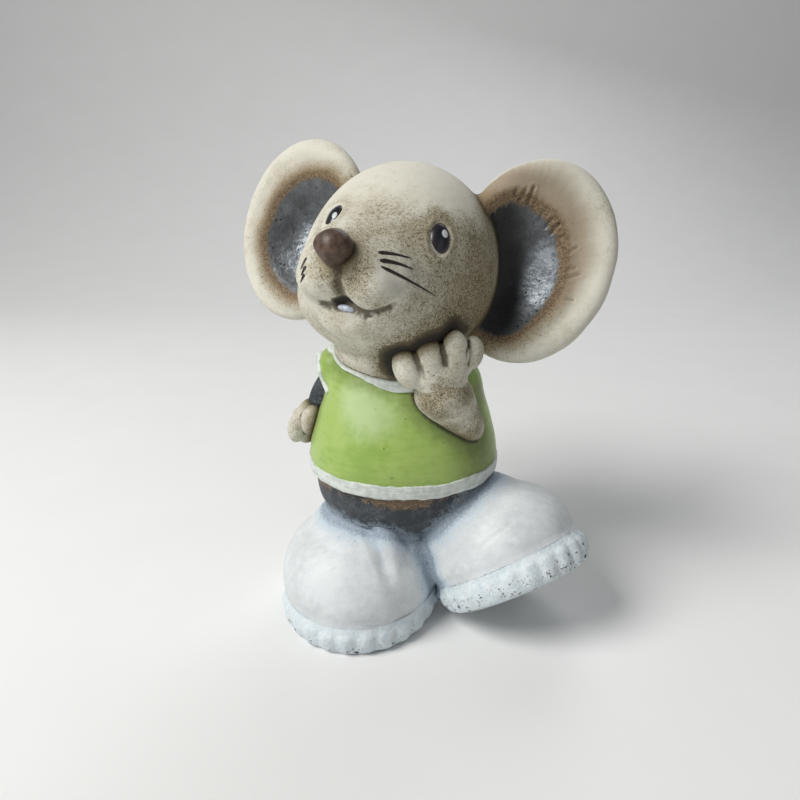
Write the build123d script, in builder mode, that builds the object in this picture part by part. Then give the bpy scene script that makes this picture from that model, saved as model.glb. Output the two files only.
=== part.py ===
from build123d import *

import os
from math import cos, pi, sin

# A hand-painted ceramic figurine of a mouse in a shirt and big shoes.
# It stands on its flat right shoe and rests the raised left shoe on its heel.
# +Z is up, the mouse faces -Y, and its left side is +X.
# The origin is on the table, under the middle of the whole outline.
# Lengths are in millimetres and angles in degrees.
# Each part is a clay form that was made by itself and then joined to the body.

# Body axis, measured from the middle of the outline
body_across = -4.33
body_back = 0.54

# Shirt, a bell of oval sections that leans a little to the mouse's left
hem_height = 50.0
shirt_height = 42.5
shirt_width = 61.0
shirt_depth = 55.0
# rows of height, width, depth and sideways place, as shares of the shirt
shirt_shares = (
    (0.00, 1.000, 1.000, 0.018),
    (0.17, 1.000, 1.000, 0.018),
    (0.38, 0.930, 0.925, 0.020),
    (0.57, 0.840, 0.840, 0.024),
    (0.76, 0.765, 0.750, 0.024),
    (0.89, 0.640, 0.650, 0.012),
    (1.00, 0.480, 0.500, 0.000),
)
# places on the shirt are told inward from its half width or half depth, and down from its top
shoulder_inset = 10.7
shoulder_back = 1.5
shoulder_drop = 12.7
shoulder_half_width = 6.6
shoulder_half_depth = 8.4
shoulder_half_height = 6.6

# Painted bands on the shirt, laid on as strips of clay
# rows of height and reach, as shares of the width and of the thickness of a band
band_shares = ((0.0, 0.45), (0.2, 1.0), (0.8, 1.0), (1.0, 0.45))
hem_band_width = 4.2
hem_band_proud = 0.9
collar_width = 2.1
collar_proud = 1.0
collar_width_share = 0.66
collar_depth_share = 0.70
collar_shift_share = 0.014
collar_drop = 6.9
collar_tilt = 12.5
armhole_band_width = 2.2
armhole_band_proud = 0.9
armhole_half_width = 5.2
armhole_inset = 7.5
armhole_back = 3.4
armhole_drop = 13.3
armhole_turn = 112.0
armhole_tip = 20.0

# Hips in dark trousers, closed under the shirt
hips_height = 21.0
hips_width = 58.4
hips_depth = 52.0
# rows of depth below the hem, width, depth and sideways place, as shares of the hips
hips_shares = (
    (0.00, 0.985, 0.990, 0.018),
    (0.28, 0.985, 0.980, 0.018),
    (0.62, 0.905, 0.880, 0.018),
    (0.88, 0.680, 0.640, 0.018),
    (1.00, 0.420, 0.380, 0.018),
)
vent_radius = 2.5
vent_depth = 9.0

# Head, an egg of oval sections from the back of the skull to the muzzle
head_across = 0.6
head_back = 0.0
head_rise = 20.4
head_turn = 23.0
head_lift = 15.0
head_lean = 8.0
head_reach = 30.0
# rows of place ahead, place above, half width and half height, as shares of the reach
head_shares = (
    (-0.945, 0.015, 0.230, 0.235),
    (-0.870, 0.015, 0.440, 0.455),
    (-0.667, 0.015, 0.690, 0.730),
    (-0.333, 0.015, 0.885, 0.945),
    (0.000, 0.015, 0.955, 1.015),
    (0.300, 0.010, 0.905, 0.975),
    (0.533, -0.020, 0.810, 0.880),
    (0.733, -0.075, 0.710, 0.735),
    (0.933, -0.165, 0.590, 0.530),
    (1.100, -0.155, 0.500, 0.345),
    (1.233, -0.105, 0.330, 0.215),
    (1.320, -0.065, 0.170, 0.120),
)

# Muzzle pads, jowls, chin and neck
pad_across = 7.6
pad_ahead = 30.0
pad_drop = 7.8
pad_half_width = 8.2
pad_half_depth = 8.4
pad_half_height = 6.8
jowl_ahead = 12.5
jowl_drop = 11.5
jowl_half_width = 24.6
jowl_half_depth = 17.0
jowl_half_height = 15.4
chin_ahead = 23.5
chin_drop = 15.6
chin_half_width = 12.5
chin_half_depth = 8.6
chin_half_height = 7.4
neck_drop = 5.2
neck_back = -1.5
neck_half_width = 19.0
neck_half_depth = 18.2
neck_half_height = 7.6
mouth_across = 0.6
mouth_ahead = 35.4
mouth_drop = 14.0
mouth_half_width = 3.6
mouth_half_depth = 2.6
mouth_half_height = 1.9
tooth_half_width = 2.6
tooth_half_depth = 1.5
tooth_half_height = 1.0
tooth_inset = 1.6

# Nose and eyes, pressed into the head
nose_ahead = 41.6
nose_rise = -0.3
nose_across = -0.8
nose_half_width = 4.8
nose_half_depth = 4.4
nose_half_height = 4.3
left_eye_across = 16.9
left_eye_ahead = 20.8
left_eye_rise = 7.9
left_eye_outturn = 40.0
right_eye_across = 10.95
right_eye_ahead = 27.5
right_eye_rise = 8.1
right_eye_outturn = 48.0
right_eye_slant = 25.0
eye_uplift = 17.0
eye_half_width = 3.4
eye_half_depth = 2.6
eye_half_height = 5.0

# Ears, round dishes with a thick rolled rim
ear_radius = 30.0
ear_narrowing_share = 0.80
ear_dish_depth = 3.4
ear_back_depth = 11.4
ear_rim = 6.6
ear_lip_share = 0.24
scoop_depth = 8.0
scoop_level = 2.4
left_ear_across = 37.2
left_ear_back = 6.0
left_ear_rise = 10.2
left_ear_outturn = 22.0
left_ear_lean = 6.0
left_scoop_across = -6.5
left_scoop_rise = -4.5
left_scoop_half_width = 14.6
left_scoop_half_height = 19.0
right_ear_across = 41.8
right_ear_back = 4.5
right_ear_rise = 6.2
right_ear_outturn = 4.0
right_ear_lean = 0.0
right_scoop_across = 3.0
right_scoop_rise = -1.5
right_scoop_half_width = 16.0
right_scoop_half_height = 19.0

# Left arm, bent up with the fist under the cheek
left_forearm_inset = 14.3
left_forearm_front_inset = 7.5
left_forearm_drop = 16.7
left_forearm_turn = -55.0
left_forearm_tip = 40.0
left_forearm_half_length = 13.6
left_forearm_radius = 7.0
# rows of place from the elbow to the wrist and thickness, as shares of the forearm
left_forearm_shares = (
    (-1.00, 0.32),
    (-0.84, 0.53),
    (-0.45, 0.76),
    (0.00, 0.96),
    (0.45, 1.14),
    (0.76, 1.14),
    (1.00, 0.82),
)
fist_across = -5.4
fist_back = -5.0
fist_rise = 12.4
fist_half_width = 8.4
fist_half_depth = 6.0
fist_half_height = 6.4
finger_length = 13.0
finger_width = 7.4
finger_tip = 10.0
finger_fan = 24.0
# rows of place across, back and up, as shares of the finger length, then the
# width, length and sideways lean as shares of a whole finger
left_finger_shares = (
    (-0.66, -0.06, 0.15, 1.06, 0.90, -1.00),
    (-0.22, -0.12, 0.30, 1.12, 1.00, -0.35),
    (0.28, -0.08, 0.44, 1.06, 0.98, 0.15),
    (0.72, 0.22, 0.40, 0.80, 0.68, 0.40),
)

# Right arm, hanging with the hand on the hip
right_arm_inset = 7.3
right_arm_back = 3.8
right_arm_drop = 18.3
right_arm_tip = 32.0
right_arm_half_length = 11.0
right_arm_radius = 5.0
right_palm_across = -7.4
right_palm_back = -0.4
right_palm_drop = 11.4
right_palm_half_width = 4.6
right_palm_half_depth = 4.6
right_palm_half_height = 8.0
right_palm_tip = 12.0
right_finger_shares = (
    (0.10, -0.31, 0.17, 0.94, 0.80, 0.00),
    (-0.22, -0.15, -0.16, 0.92, 0.84, 0.00),
    (-0.22, 0.24, -0.12, 0.84, 0.80, 0.00),
)

# Shoes, round domes on thick fluted soles
shoe_length = 58.5
shoe_width = 53.0
shoe_height = 34.2
sole_thickness = 9.5
# rows of height and spread, as shares of the thickness and the outline of a sole
sole_shares = ((0.00, 0.92), (0.18, 0.985), (0.60, 1.00), (0.88, 0.975), (1.00, 0.93))
lobe_count = 25
lobe_depth = 1.1
# rows of turn along one lobe and depth, as shares of a lobe
lobe_shares = ((0.00, 1.00), (0.10, 0.52), (0.26, 0.14), (0.50, 0.00), (0.74, 0.14), (0.90, 0.52))
dome_overhang = 0.3
dome_rise = 5.0
dome_setback = 0.8
right_shoe_across = -13.6
right_shoe_back = -8.0
right_shoe_turn = 9.0
left_shoe_share = 0.92
left_shoe_across = 39.0
left_shoe_back = -18.6
left_shoe_lift = 14.4
left_shoe_turn = 45.0
left_shoe_pitch = 38.5
left_shoe_roll = 3.0

# Legs between the hips and the shoes
leg_radius = 12.0
right_leg_across = -12.0
right_leg_back = 8.0
right_leg_half_height = 15.0
right_leg_height = 29.0
left_leg_across = 16.5
left_leg_back = -1.0
left_leg_half_height = 17.0
left_leg_height = 27.0
left_leg_tip = 24.0

# Tail, a tapering roll of clay laid up the back of the hips and over the hem
tail_radius = 2.8
tail_across = 5.0
tail_height = 36.0
tail_rise = 24.0
tail_sway = 5.0
tail_seat = 2.2
# rows of height, sway, place behind and thickness, as shares of the tail
tail_shares = (
    (0.00, 0.00, 0.75, 1.00),
    (0.20, 0.55, 0.86, 1.00),
    (0.40, 0.92, 0.95, 0.95),
    (0.60, 1.00, 1.00, 0.86),
    (0.80, 0.70, 0.99, 0.70),
    (1.00, 0.20, 0.95, 0.45),
)


def spot(across, back, height):
    return Location((body_across + across, body_back + back, height))


def egg(place, half_width, half_depth, half_height):
    ball = Sphere(1, mode=Mode.PRIVATE)
    return place * scale(ball, by=(half_width, half_depth, half_height), mode=Mode.PRIVATE)


def fingers(hand_place, tip, finger_shares):
    for across, back, rise, width, length, lean in finger_shares:
        knuckle = Location((across * finger_length, back * finger_length, rise * finger_length))
        finger_place = hand_place * knuckle * Rotation(-tip, 0, 0) * Rotation(0, lean * finger_fan, 0)
        finger_half = width * finger_width / 2
        add(egg(finger_place, finger_half, finger_half, length * finger_length / 2))


def stacked_plane(height, across_shift):
    return Plane((spot(across_shift, 0, height)))


# Edges of the shirt that the head, the arms and the trim are placed from
shirt_top = hem_height + shirt_height
shirt_side = shirt_width / 2
shirt_front = -shirt_depth / 2

# Places in the head, told as across, back and up from the middle of the skull
head_place = (
    spot(head_across, head_back, shirt_top + head_rise)
    * Rotation(0, 0, -head_turn)
    * Rotation(-head_lift, 0, 0)
    * Rotation(0, head_lean, 0)
)


def face_spot(across, ahead, rise):
    return head_place * Location((across, -ahead, rise))


# Eyes and nose are whole beads, so that their sockets can be cut from them
left_eye_place = (
    face_spot(left_eye_across, left_eye_ahead, left_eye_rise)
    * Rotation(0, 0, left_eye_outturn)
    * Rotation(-eye_uplift, 0, 0)
)
right_eye_place = (
    face_spot(-right_eye_across, right_eye_ahead, right_eye_rise)
    * Rotation(0, 0, -right_eye_outturn)
    * Rotation(-eye_uplift, 0, 0)
    * Rotation(0, -right_eye_slant, 0)
)

with BuildPart() as left_eye:
    add(egg(left_eye_place, eye_half_width, eye_half_depth, eye_half_height))

with BuildPart() as right_eye:
    add(egg(right_eye_place, eye_half_width, eye_half_depth, eye_half_height))

with BuildPart() as nose:
    nose_place = face_spot(nose_across, nose_ahead, nose_rise)
    add(egg(nose_place, nose_half_width, nose_half_depth, nose_half_height))

# Head: skull and muzzle in one loft, with the pads, jowls, chin and neck swelling out
with BuildPart() as head:
    for ahead, rise, half_width, half_height in head_shares:
        section_place = face_spot(0, ahead * head_reach, rise * head_reach)
        with BuildSketch(Plane(section_place * Rotation(90, 0, 0))):
            Ellipse(half_width * head_reach, half_height * head_reach)
    loft()
    for side in (-1, 1):
        pad_place = face_spot(side * pad_across, pad_ahead, -pad_drop)
        add(egg(pad_place, pad_half_width, pad_half_depth, pad_half_height))
    jowl_place = face_spot(0, jowl_ahead, -jowl_drop)
    add(egg(jowl_place, jowl_half_width, jowl_half_depth, jowl_half_height))
    chin_place = face_spot(0, chin_ahead, -chin_drop)
    add(egg(chin_place, chin_half_width, chin_half_depth, chin_half_height))
    neck_place = spot(0, neck_back, shirt_top - neck_drop)
    add(egg(neck_place, neck_half_width, neck_half_depth, neck_half_height))
    # mouth opening
    mouth_place = face_spot(mouth_across, mouth_ahead, -mouth_drop)
    mouth_void = egg(mouth_place, mouth_half_width, mouth_half_depth, mouth_half_height)
    add(mouth_void, mode=Mode.SUBTRACT)
    # sockets of the eyes and the nose
    for bead in (left_eye, right_eye, nose):
        add(bead.part, mode=Mode.SUBTRACT)

# Tooth, a small bead that fills the back of the mouth
with BuildPart() as tooth:
    tooth_place = mouth_place * Location((0, tooth_inset, 0))
    add(egg(tooth_place, tooth_half_width, tooth_half_depth, tooth_half_height))
    add(head.part, mode=Mode.SUBTRACT)

# Ear before it is joined: a dish turned about its own axis, then narrowed to an oval,
# in which each ear has a deeper scoop to one side
rim_middle = ear_radius - ear_rim / 2
lip_end = (rim_middle * (1 - ear_lip_share), -ear_dish_depth * ear_lip_share)
with BuildPart() as ear_dish:
    with BuildSketch(Plane.XZ) as ear_profile:
        with BuildLine():
            lip = TangentArc((rim_middle, 0), lip_end, tangent=(-1, 0))
            hollow = TangentArc(lip @ 1, (0, -ear_dish_depth), tangent=lip % 1)
            wall = Line(hollow @ 1, (0, -ear_back_depth))
            back = TangentArc(wall @ 1, (rim_middle, -ear_rim), tangent=(1, 0))
            ThreePointArc(back @ 1, (ear_radius, -ear_rim / 2), lip @ 0)
        make_face()
    revolve(axis=Axis.Z)
    scale(by=(ear_narrowing_share, 1, 1))

left_ear_place = (
    face_spot(left_ear_across, -left_ear_back, left_ear_rise)
    * Rotation(0, 0, left_ear_outturn)
    * Rotation(90, 0, 0)
    * Rotation(0, 0, -left_ear_lean)
)
right_ear_place = (
    face_spot(-right_ear_across, -right_ear_back, right_ear_rise)
    * Rotation(0, 0, -right_ear_outturn)
    * Rotation(90, 0, 0)
    * Rotation(0, 0, right_ear_lean)
)

with BuildPart() as left_ear:
    add(left_ear_place * ear_dish.part)
    scoop_place = left_ear_place * Location((left_scoop_across, left_scoop_rise, -scoop_level))
    scoop_half_depth = scoop_depth - scoop_level
    left_scoop = egg(scoop_place, left_scoop_half_width, left_scoop_half_height, scoop_half_depth)
    add(left_scoop, mode=Mode.SUBTRACT)
    add(head.part, mode=Mode.SUBTRACT)

with BuildPart() as right_ear:
    add(right_ear_place * ear_dish.part)
    scoop_place = right_ear_place * Location((right_scoop_across, right_scoop_rise, -scoop_level))
    right_scoop = egg(scoop_place, right_scoop_half_width, right_scoop_half_height, scoop_half_depth)
    add(right_scoop, mode=Mode.SUBTRACT)
    add(head.part, mode=Mode.SUBTRACT)

# Shirt body with the low right shoulder, hollowed where the head sits on it
with BuildPart() as shirt:
    for rise, width, depth, shift in shirt_shares:
        with BuildSketch(stacked_plane(hem_height + rise * shirt_height, shift * shirt_width)):
            Ellipse(width * shirt_width / 2, depth * shirt_depth / 2)
    loft()
    shoulder_place = spot(shoulder_inset - shirt_side, shoulder_back, shirt_top - shoulder_drop)
    add(egg(shoulder_place, shoulder_half_width, shoulder_half_depth, shoulder_half_height))
    add(head.part, mode=Mode.SUBTRACT)

# Hem band around the foot of the shirt
hem_shift = shirt_shares[0][3] * shirt_width
with BuildPart() as shirt_hem:
    for rise, reach in band_shares:
        with BuildSketch(stacked_plane(hem_height + rise * hem_band_width, hem_shift)):
            band_reach = reach * hem_band_proud
            Ellipse(shirt_side + band_reach, shirt_depth / 2 + band_reach)
    loft(ruled=True)
    add(shirt.part, mode=Mode.SUBTRACT)

# Collar band around the neck, lower in front
with BuildPart() as collar_band:
    collar_place = spot(collar_shift_share * shirt_width, 0, shirt_top - collar_drop)
    collar_place = collar_place * Rotation(collar_tilt, 0, 0)
    collar_half_width = collar_width_share * shirt_side
    collar_half_depth = collar_depth_share * shirt_depth / 2
    for rise, reach in band_shares:
        with BuildSketch(Plane(collar_place * Location((0, 0, rise * collar_width)))):
            band_reach = reach * collar_proud
            Ellipse(collar_half_width + band_reach, collar_half_depth + band_reach)
    loft(ruled=True)
    add(shirt.part, mode=Mode.SUBTRACT)
    add(head.part, mode=Mode.SUBTRACT)

# Right upper arm and the band of the armhole that it comes out of
with BuildPart() as right_arm:
    arm_joint = spot(right_arm_inset - shirt_side, right_arm_back, shirt_top - right_arm_drop)
    arm_place = arm_joint * Rotation(0, right_arm_tip, 0)
    add(egg(arm_place, right_arm_radius, right_arm_radius, right_arm_half_length))
    add(shirt.part, mode=Mode.SUBTRACT)

with BuildPart() as armhole_band:
    band_place = spot(armhole_inset - shirt_side, armhole_back, shirt_top - armhole_drop)
    band_place = band_place * Rotation(0, -armhole_turn, 0) * Rotation(armhole_tip, 0, 0)
    for rise, reach in band_shares:
        with BuildSketch(Plane(band_place * Location((0, 0, rise * armhole_band_width)))):
            Circle(armhole_half_width + reach * armhole_band_proud)
    loft(ruled=True)
    add(shirt.part, mode=Mode.SUBTRACT)
    add(right_arm.part, mode=Mode.SUBTRACT)

# Right hand: a palm with three short fingers
with BuildPart() as right_hand:
    palm_place = arm_joint * Location((right_palm_across, right_palm_back, -right_palm_drop))
    palm_place = palm_place * Rotation(0, right_palm_tip, 0)
    add(egg(palm_place, right_palm_half_width, right_palm_half_depth, right_palm_half_height))
    fingers(palm_place, 0, right_finger_shares)
    add(shirt.part, mode=Mode.SUBTRACT)
    add(shirt_hem.part, mode=Mode.SUBTRACT)
    add(right_arm.part, mode=Mode.SUBTRACT)

# Left fist: a palm with four curled fingers under the cheek
forearm_middle = spot(
    shirt_side - left_forearm_inset,
    shirt_front + left_forearm_front_inset,
    shirt_top - left_forearm_drop,
)
with BuildPart() as left_fist:
    fist_place = forearm_middle * Location((fist_across, fist_back, fist_rise))
    add(egg(fist_place, fist_half_width, fist_half_depth, fist_half_height))
    fingers(fist_place, finger_tip, left_finger_shares)
    for neighbour in (head, shirt, collar_band):
        add(neighbour.part, mode=Mode.SUBTRACT)

# Left forearm, a wedge laid across the chest from the elbow up to the fist
with BuildPart() as left_forearm:
    forearm_place = forearm_middle * Rotation(0, 0, left_forearm_turn)
    forearm_place = forearm_place * Rotation(left_forearm_tip, 0, 0)
    for along, thickness in left_forearm_shares:
        section_place = forearm_place * Location((0, 0, along * left_forearm_half_length))
        with BuildSketch(Plane(section_place)):
            Circle(thickness * left_forearm_radius)
    loft()
    for neighbour in (head, shirt, collar_band, left_fist):
        add(neighbour.part, mode=Mode.SUBTRACT)

# Hips, a bowl that closes the shirt from below, with the firing vent between the legs
with BuildPart() as hips:
    for drop, width, depth, shift in hips_shares:
        with BuildSketch(stacked_plane(hem_height - drop * hips_height, shift * hips_width)):
            Ellipse(width * hips_width / 2, depth * hips_depth / 2)
    loft()
    with Locations(hips.faces().sort_by(Axis.Z)[0]):
        Hole(vent_radius, depth=vent_depth)

# Shoe before it is placed: the toe points to -Y and the sole lies on the table
def sole_outline(spread):
    points = []
    for count in range(lobe_count):
        for along, notch in lobe_shares:
            turn = 2 * pi * (count + along) / lobe_count
            half_width = spread * shoe_width / 2 - notch * lobe_depth
            half_length = spread * shoe_length / 2 - notch * lobe_depth
            points.append((half_width * cos(turn), half_length * sin(turn)))
    return points


with BuildPart() as sole_blank:
    for rise, spread in sole_shares:
        with BuildSketch(Plane.XY.offset(rise * sole_thickness)):
            with BuildLine():
                Polyline(*sole_outline(spread), close=True)
            make_face()
    loft(ruled=True)

dome_height = shoe_height - sole_thickness - dome_rise
with BuildPart() as dome_blank:
    dome_place = Location((0, dome_setback, sole_thickness + dome_rise))
    dome_half_width = shoe_width / 2 - dome_overhang
    dome_half_length = shoe_length / 2 - dome_setback - dome_overhang
    add(egg(dome_place, dome_half_width, dome_half_length, dome_height))
    split(bisect_by=Plane.XY.offset(sole_thickness), keep=Keep.TOP)

right_shoe_place = spot(right_shoe_across, right_shoe_back, 0) * Rotation(0, 0, -right_shoe_turn)
left_shoe_place = (
    spot(left_shoe_across, left_shoe_back, left_shoe_lift)
    * Rotation(0, 0, left_shoe_turn)
    * Rotation(-left_shoe_pitch, 0, 0)
    * Rotation(0, left_shoe_roll, 0)
)

with BuildPart() as right_sole:
    add(right_shoe_place * sole_blank.part)

with BuildPart() as right_shoe:
    add(right_shoe_place * dome_blank.part)
    add(hips.part, mode=Mode.SUBTRACT)

# The raised shoe is a little smaller in plan, and stands on a small flat at its heel
left_shoe_shares = (left_shoe_share, left_shoe_share, 1)
with BuildPart() as left_sole:
    add(left_shoe_place * scale(sole_blank.part, by=left_shoe_shares, mode=Mode.PRIVATE))
    split(bisect_by=Plane.XY, keep=Keep.TOP)
    add(right_sole.part, mode=Mode.SUBTRACT)
    add(right_shoe.part, mode=Mode.SUBTRACT)

with BuildPart() as left_shoe:
    add(left_shoe_place * scale(dome_blank.part, by=left_shoe_shares, mode=Mode.PRIVATE))
    for neighbour in (hips, shirt_hem, right_shoe, right_sole):
        add(neighbour.part, mode=Mode.SUBTRACT)

# Legs, cut to the hips above and the shoes below
with BuildPart() as right_leg:
    right_leg_place = spot(right_leg_across, right_leg_back, right_leg_height)
    add(egg(right_leg_place, leg_radius, leg_radius, right_leg_half_height))
    for neighbour in (hips, right_shoe, right_sole):
        add(neighbour.part, mode=Mode.SUBTRACT)

with BuildPart() as left_leg:
    left_leg_place = spot(left_leg_across, left_leg_back, left_leg_height)
    left_leg_place = left_leg_place * Rotation(0, -left_leg_tip, 0)
    add(egg(left_leg_place, leg_radius, leg_radius, left_leg_half_height))
    for neighbour in (hips, right_leg, right_shoe, right_sole, left_shoe, left_sole):
        add(neighbour.part, mode=Mode.SUBTRACT)

# Tail, from the back of the hips up over the hem
tail_surface = shirt_depth / 2 + tail_seat
with BuildPart() as tail:
    for climb, sway, behind, taper in tail_shares:
        tail_point = spot(
            tail_across + sway * tail_sway,
            behind * tail_surface,
            tail_height + climb * tail_rise,
        )
        with BuildSketch(Plane(tail_point)):
            Circle(taper * tail_radius)
    loft()
    for neighbour in (hips, shirt, shirt_hem):
        add(neighbour.part, mode=Mode.SUBTRACT)

# Write each piece under its own name
head.part.label = "head"
left_ear.part.label = "left_ear"
right_ear.part.label = "right_ear"
nose.part.label = "nose"
left_eye.part.label = "left_eye"
right_eye.part.label = "right_eye"
tooth.part.label = "tooth"
shirt.part.label = "shirt"
shirt_hem.part.label = "shirt_hem"
collar_band.part.label = "collar_band"
armhole_band.part.label = "armhole_band"
right_arm.part.label = "right_arm"
right_hand.part.label = "right_hand"
left_forearm.part.label = "left_forearm"
left_fist.part.label = "left_fist"
hips.part.label = "hips"
right_leg.part.label = "right_leg"
left_leg.part.label = "left_leg"
right_shoe.part.label = "right_shoe"
right_sole.part.label = "right_sole"
left_shoe.part.label = "left_shoe"
left_sole.part.label = "left_sole"
tail.part.label = "tail"

os.makedirs("parts", exist_ok=True)
export_step(head.part, "parts/head.step")
export_step(left_ear.part, "parts/left_ear.step")
export_step(right_ear.part, "parts/right_ear.step")
export_step(nose.part, "parts/nose.step")
export_step(left_eye.part, "parts/left_eye.step")
export_step(right_eye.part, "parts/right_eye.step")
export_step(tooth.part, "parts/tooth.step")
export_step(shirt.part, "parts/shirt.step")
export_step(shirt_hem.part, "parts/shirt_hem.step")
export_step(collar_band.part, "parts/collar_band.step")
export_step(armhole_band.part, "parts/armhole_band.step")
export_step(right_arm.part, "parts/right_arm.step")
export_step(right_hand.part, "parts/right_hand.step")
export_step(left_forearm.part, "parts/left_forearm.step")
export_step(left_fist.part, "parts/left_fist.step")
export_step(hips.part, "parts/hips.step")
export_step(right_leg.part, "parts/right_leg.step")
export_step(left_leg.part, "parts/left_leg.step")
export_step(right_shoe.part, "parts/right_shoe.step")
export_step(right_sole.part, "parts/right_sole.step")
export_step(left_shoe.part, "parts/left_shoe.step")
export_step(left_sole.part, "parts/left_sole.step")
export_step(tail.part, "parts/tail.step")
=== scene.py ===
from math import cos, pi, radians, sin

import bmesh
import bpy
import numpy as np
from mathutils import Matrix, Vector
from mathutils.bvhtree import BVHTree


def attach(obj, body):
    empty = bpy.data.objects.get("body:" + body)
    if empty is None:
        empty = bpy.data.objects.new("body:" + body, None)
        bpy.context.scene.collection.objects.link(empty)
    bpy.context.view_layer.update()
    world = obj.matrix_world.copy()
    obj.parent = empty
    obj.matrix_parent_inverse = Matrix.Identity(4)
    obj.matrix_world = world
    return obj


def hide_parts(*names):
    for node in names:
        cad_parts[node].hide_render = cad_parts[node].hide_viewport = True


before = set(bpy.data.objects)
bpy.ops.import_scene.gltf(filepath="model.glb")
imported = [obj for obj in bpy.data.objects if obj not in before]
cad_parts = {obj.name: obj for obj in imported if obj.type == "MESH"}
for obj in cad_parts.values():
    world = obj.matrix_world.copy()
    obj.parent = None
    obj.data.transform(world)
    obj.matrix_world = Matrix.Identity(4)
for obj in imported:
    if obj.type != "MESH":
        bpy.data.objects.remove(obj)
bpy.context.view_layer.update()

# A hand-painted ceramic mouse in a green shirt and big white shoes.
# The clay is shaped in millimetres, and each piece is brought to metres when it is finished.
millimetre = 0.001
body_across = -4.33
body_back = 0.54
coarse = 1.0


# Places and directions
def spot(across, back, height):
    return Matrix.Translation((body_across + across, body_back + back, height))


def turn(degrees, axis):
    return Matrix.Rotation(radians(degrees), 4, axis)


def move(across, back, height):
    return Matrix.Translation((across, back, height))


head_place = spot(0.6, 0, 112.9) @ turn(-23, "Z") @ turn(-15, "X") @ turn(8, "Y")


def face_spot(across, ahead, rise):
    return head_place @ move(across, -ahead, rise)


# Camera, at the height and the tilt that the photograph was taken from
eye_point = Vector((-4.33, -189.46, 138.6))
eye_tilt = radians(19.5)
eye_reach = 622.0
camera_data = bpy.data.cameras.new("camera")
camera_data.sensor_width = 36.0
camera_data.lens = eye_reach * 36.0 / 800
camera_data.clip_start = 0.01
camera = bpy.data.objects.new("camera", camera_data)
camera.location = eye_point * millimetre
camera.rotation_euler = (pi / 2 - eye_tilt, 0, 0)
bpy.context.scene.collection.objects.link(camera)
bpy.context.scene.camera = camera


def sight(px, py):
    """The direction that a point of the picture is seen in."""
    ahead = Vector((0, cos(eye_tilt), -sin(eye_tilt)))
    above = Vector((0, sin(eye_tilt), cos(eye_tilt)))
    way = ahead + above * ((400 - py) / eye_reach) + Vector(((px - 400) / eye_reach, 0, 0))
    return way.normalized()


def on_skin(skin, px, py):
    """The point of a skin that is seen at a point of the picture, or the nearest to that line."""
    way = sight(px, py)
    hit = skin.ray_cast(eye_point, way)[0]
    if hit is None:
        hit = skin.find_nearest(eye_point + way * 190)[0]
    return np.array(hit)


# Numbers spread over a surface
def ease(values, low, high):
    """0 below low, 1 above high, and a soft step between them."""
    share = np.clip((values - low) / (high - low), 0, 1)
    return share * share * (3 - 2 * share)


def fall(values, low, high):
    """1 below low, 0 above high, and a soft step between them."""
    return 1 - ease(values, low, high)


def hill(values, width):
    """1 at zero, falling softly to 0 at the width."""
    return 1 - ease(np.abs(values), 0, width)


def ripple(points, size, seed):
    """A slow, even wandering between -1 and 1, for lumps left by the fingers."""
    total = np.zeros(len(points))
    chance = np.random.default_rng(seed)
    for step in range(6):
        way = chance.normal(size=3)
        way /= np.linalg.norm(way)
        wave = size * (0.7 + 0.6 * chance.random())
        total += np.sin(points @ way * 2 * pi / wave + chance.random() * 2 * pi)
    return total / 3.5


def from_line(points, skin, path):
    """How far each point is from a line drawn over the picture, and how far along it lies, from 0 to 1."""
    path = np.array([on_skin(skin, px, py) for px, py in path])
    best = np.full(len(points), 1e9)
    along = np.zeros(len(points))
    lengths = np.linalg.norm(np.diff(path, axis=0), axis=1)
    starts = np.concatenate([[0], np.cumsum(lengths)])
    for start, end, before, length in zip(path, path[1:], starts, lengths):
        share = np.clip((points - start) @ (end - start) / length**2, 0, 1)
        away = np.linalg.norm(points - start - share[:, None] * (end - start), axis=1)
        closer = away < best
        best = np.where(closer, away, best)
        along = np.where(closer, (before + share * length) / starts[-1], along)
    return best, along


def smudges(points, skin, marks):
    """Soft marks of a brush, each told by its place in the picture, its width and its strength."""
    laid = np.zeros(len(points))
    for px, py, width, strength in marks:
        laid += strength * hill(np.linalg.norm(points - on_skin(skin, px, py), axis=1), width)
    return laid


def toward(place, across, back, up):
    """A direction of a place, told in the figurine's own frame."""
    return np.array(place.to_3x3() @ Vector((across, back, up)))


def local(points, place):
    """Points told from a place of their own."""
    back = np.array(place.inverted())
    return points @ back[:3, :3].T + back[:3, 3]


def read_rows(source, name, width, kind=np.float32):
    """One property of every vertex or edge of a mesh, in rows."""
    found = np.empty(len(source) * width, kind)
    source.foreach_get(name, found)
    return found.reshape(-1, width)


# Lumps of clay
def ball(lumps, place, *halves):
    grow = Matrix.Diagonal((*halves, 1))
    bmesh.ops.create_icosphere(lumps, subdivisions=4, radius=1, matrix=place @ grow)


def roll(lumps, rings, sides=64):
    """A closed roll of clay through rings, each told by its place and its two half widths."""
    edges = []
    for number, (place, half_across, half_up) in enumerate(rings):
        made = bmesh.ops.create_circle(
            lumps,
            cap_ends=number in (0, len(rings) - 1),
            radius=1,
            segments=sides,
            matrix=place @ Matrix.Diagonal((half_across, half_up, 1, 1)),
        )
        edges.append(list({edge for vert in made["verts"] for edge in vert.link_edges}))
    for low, high in zip(edges, edges[1:]):
        bmesh.ops.bridge_loops(lumps, edges=low + high)
    bmesh.ops.recalc_face_normals(lumps, faces=lumps.faces[:])


def cut(lumps, point, normal):
    """Takes away what lies past a plane."""
    bmesh.ops.bisect_plane(
        lumps,
        geom=lumps.verts[:] + lumps.edges[:] + lumps.faces[:],
        plane_co=point,
        plane_no=normal,
        clear_outer=True,
    )


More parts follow.
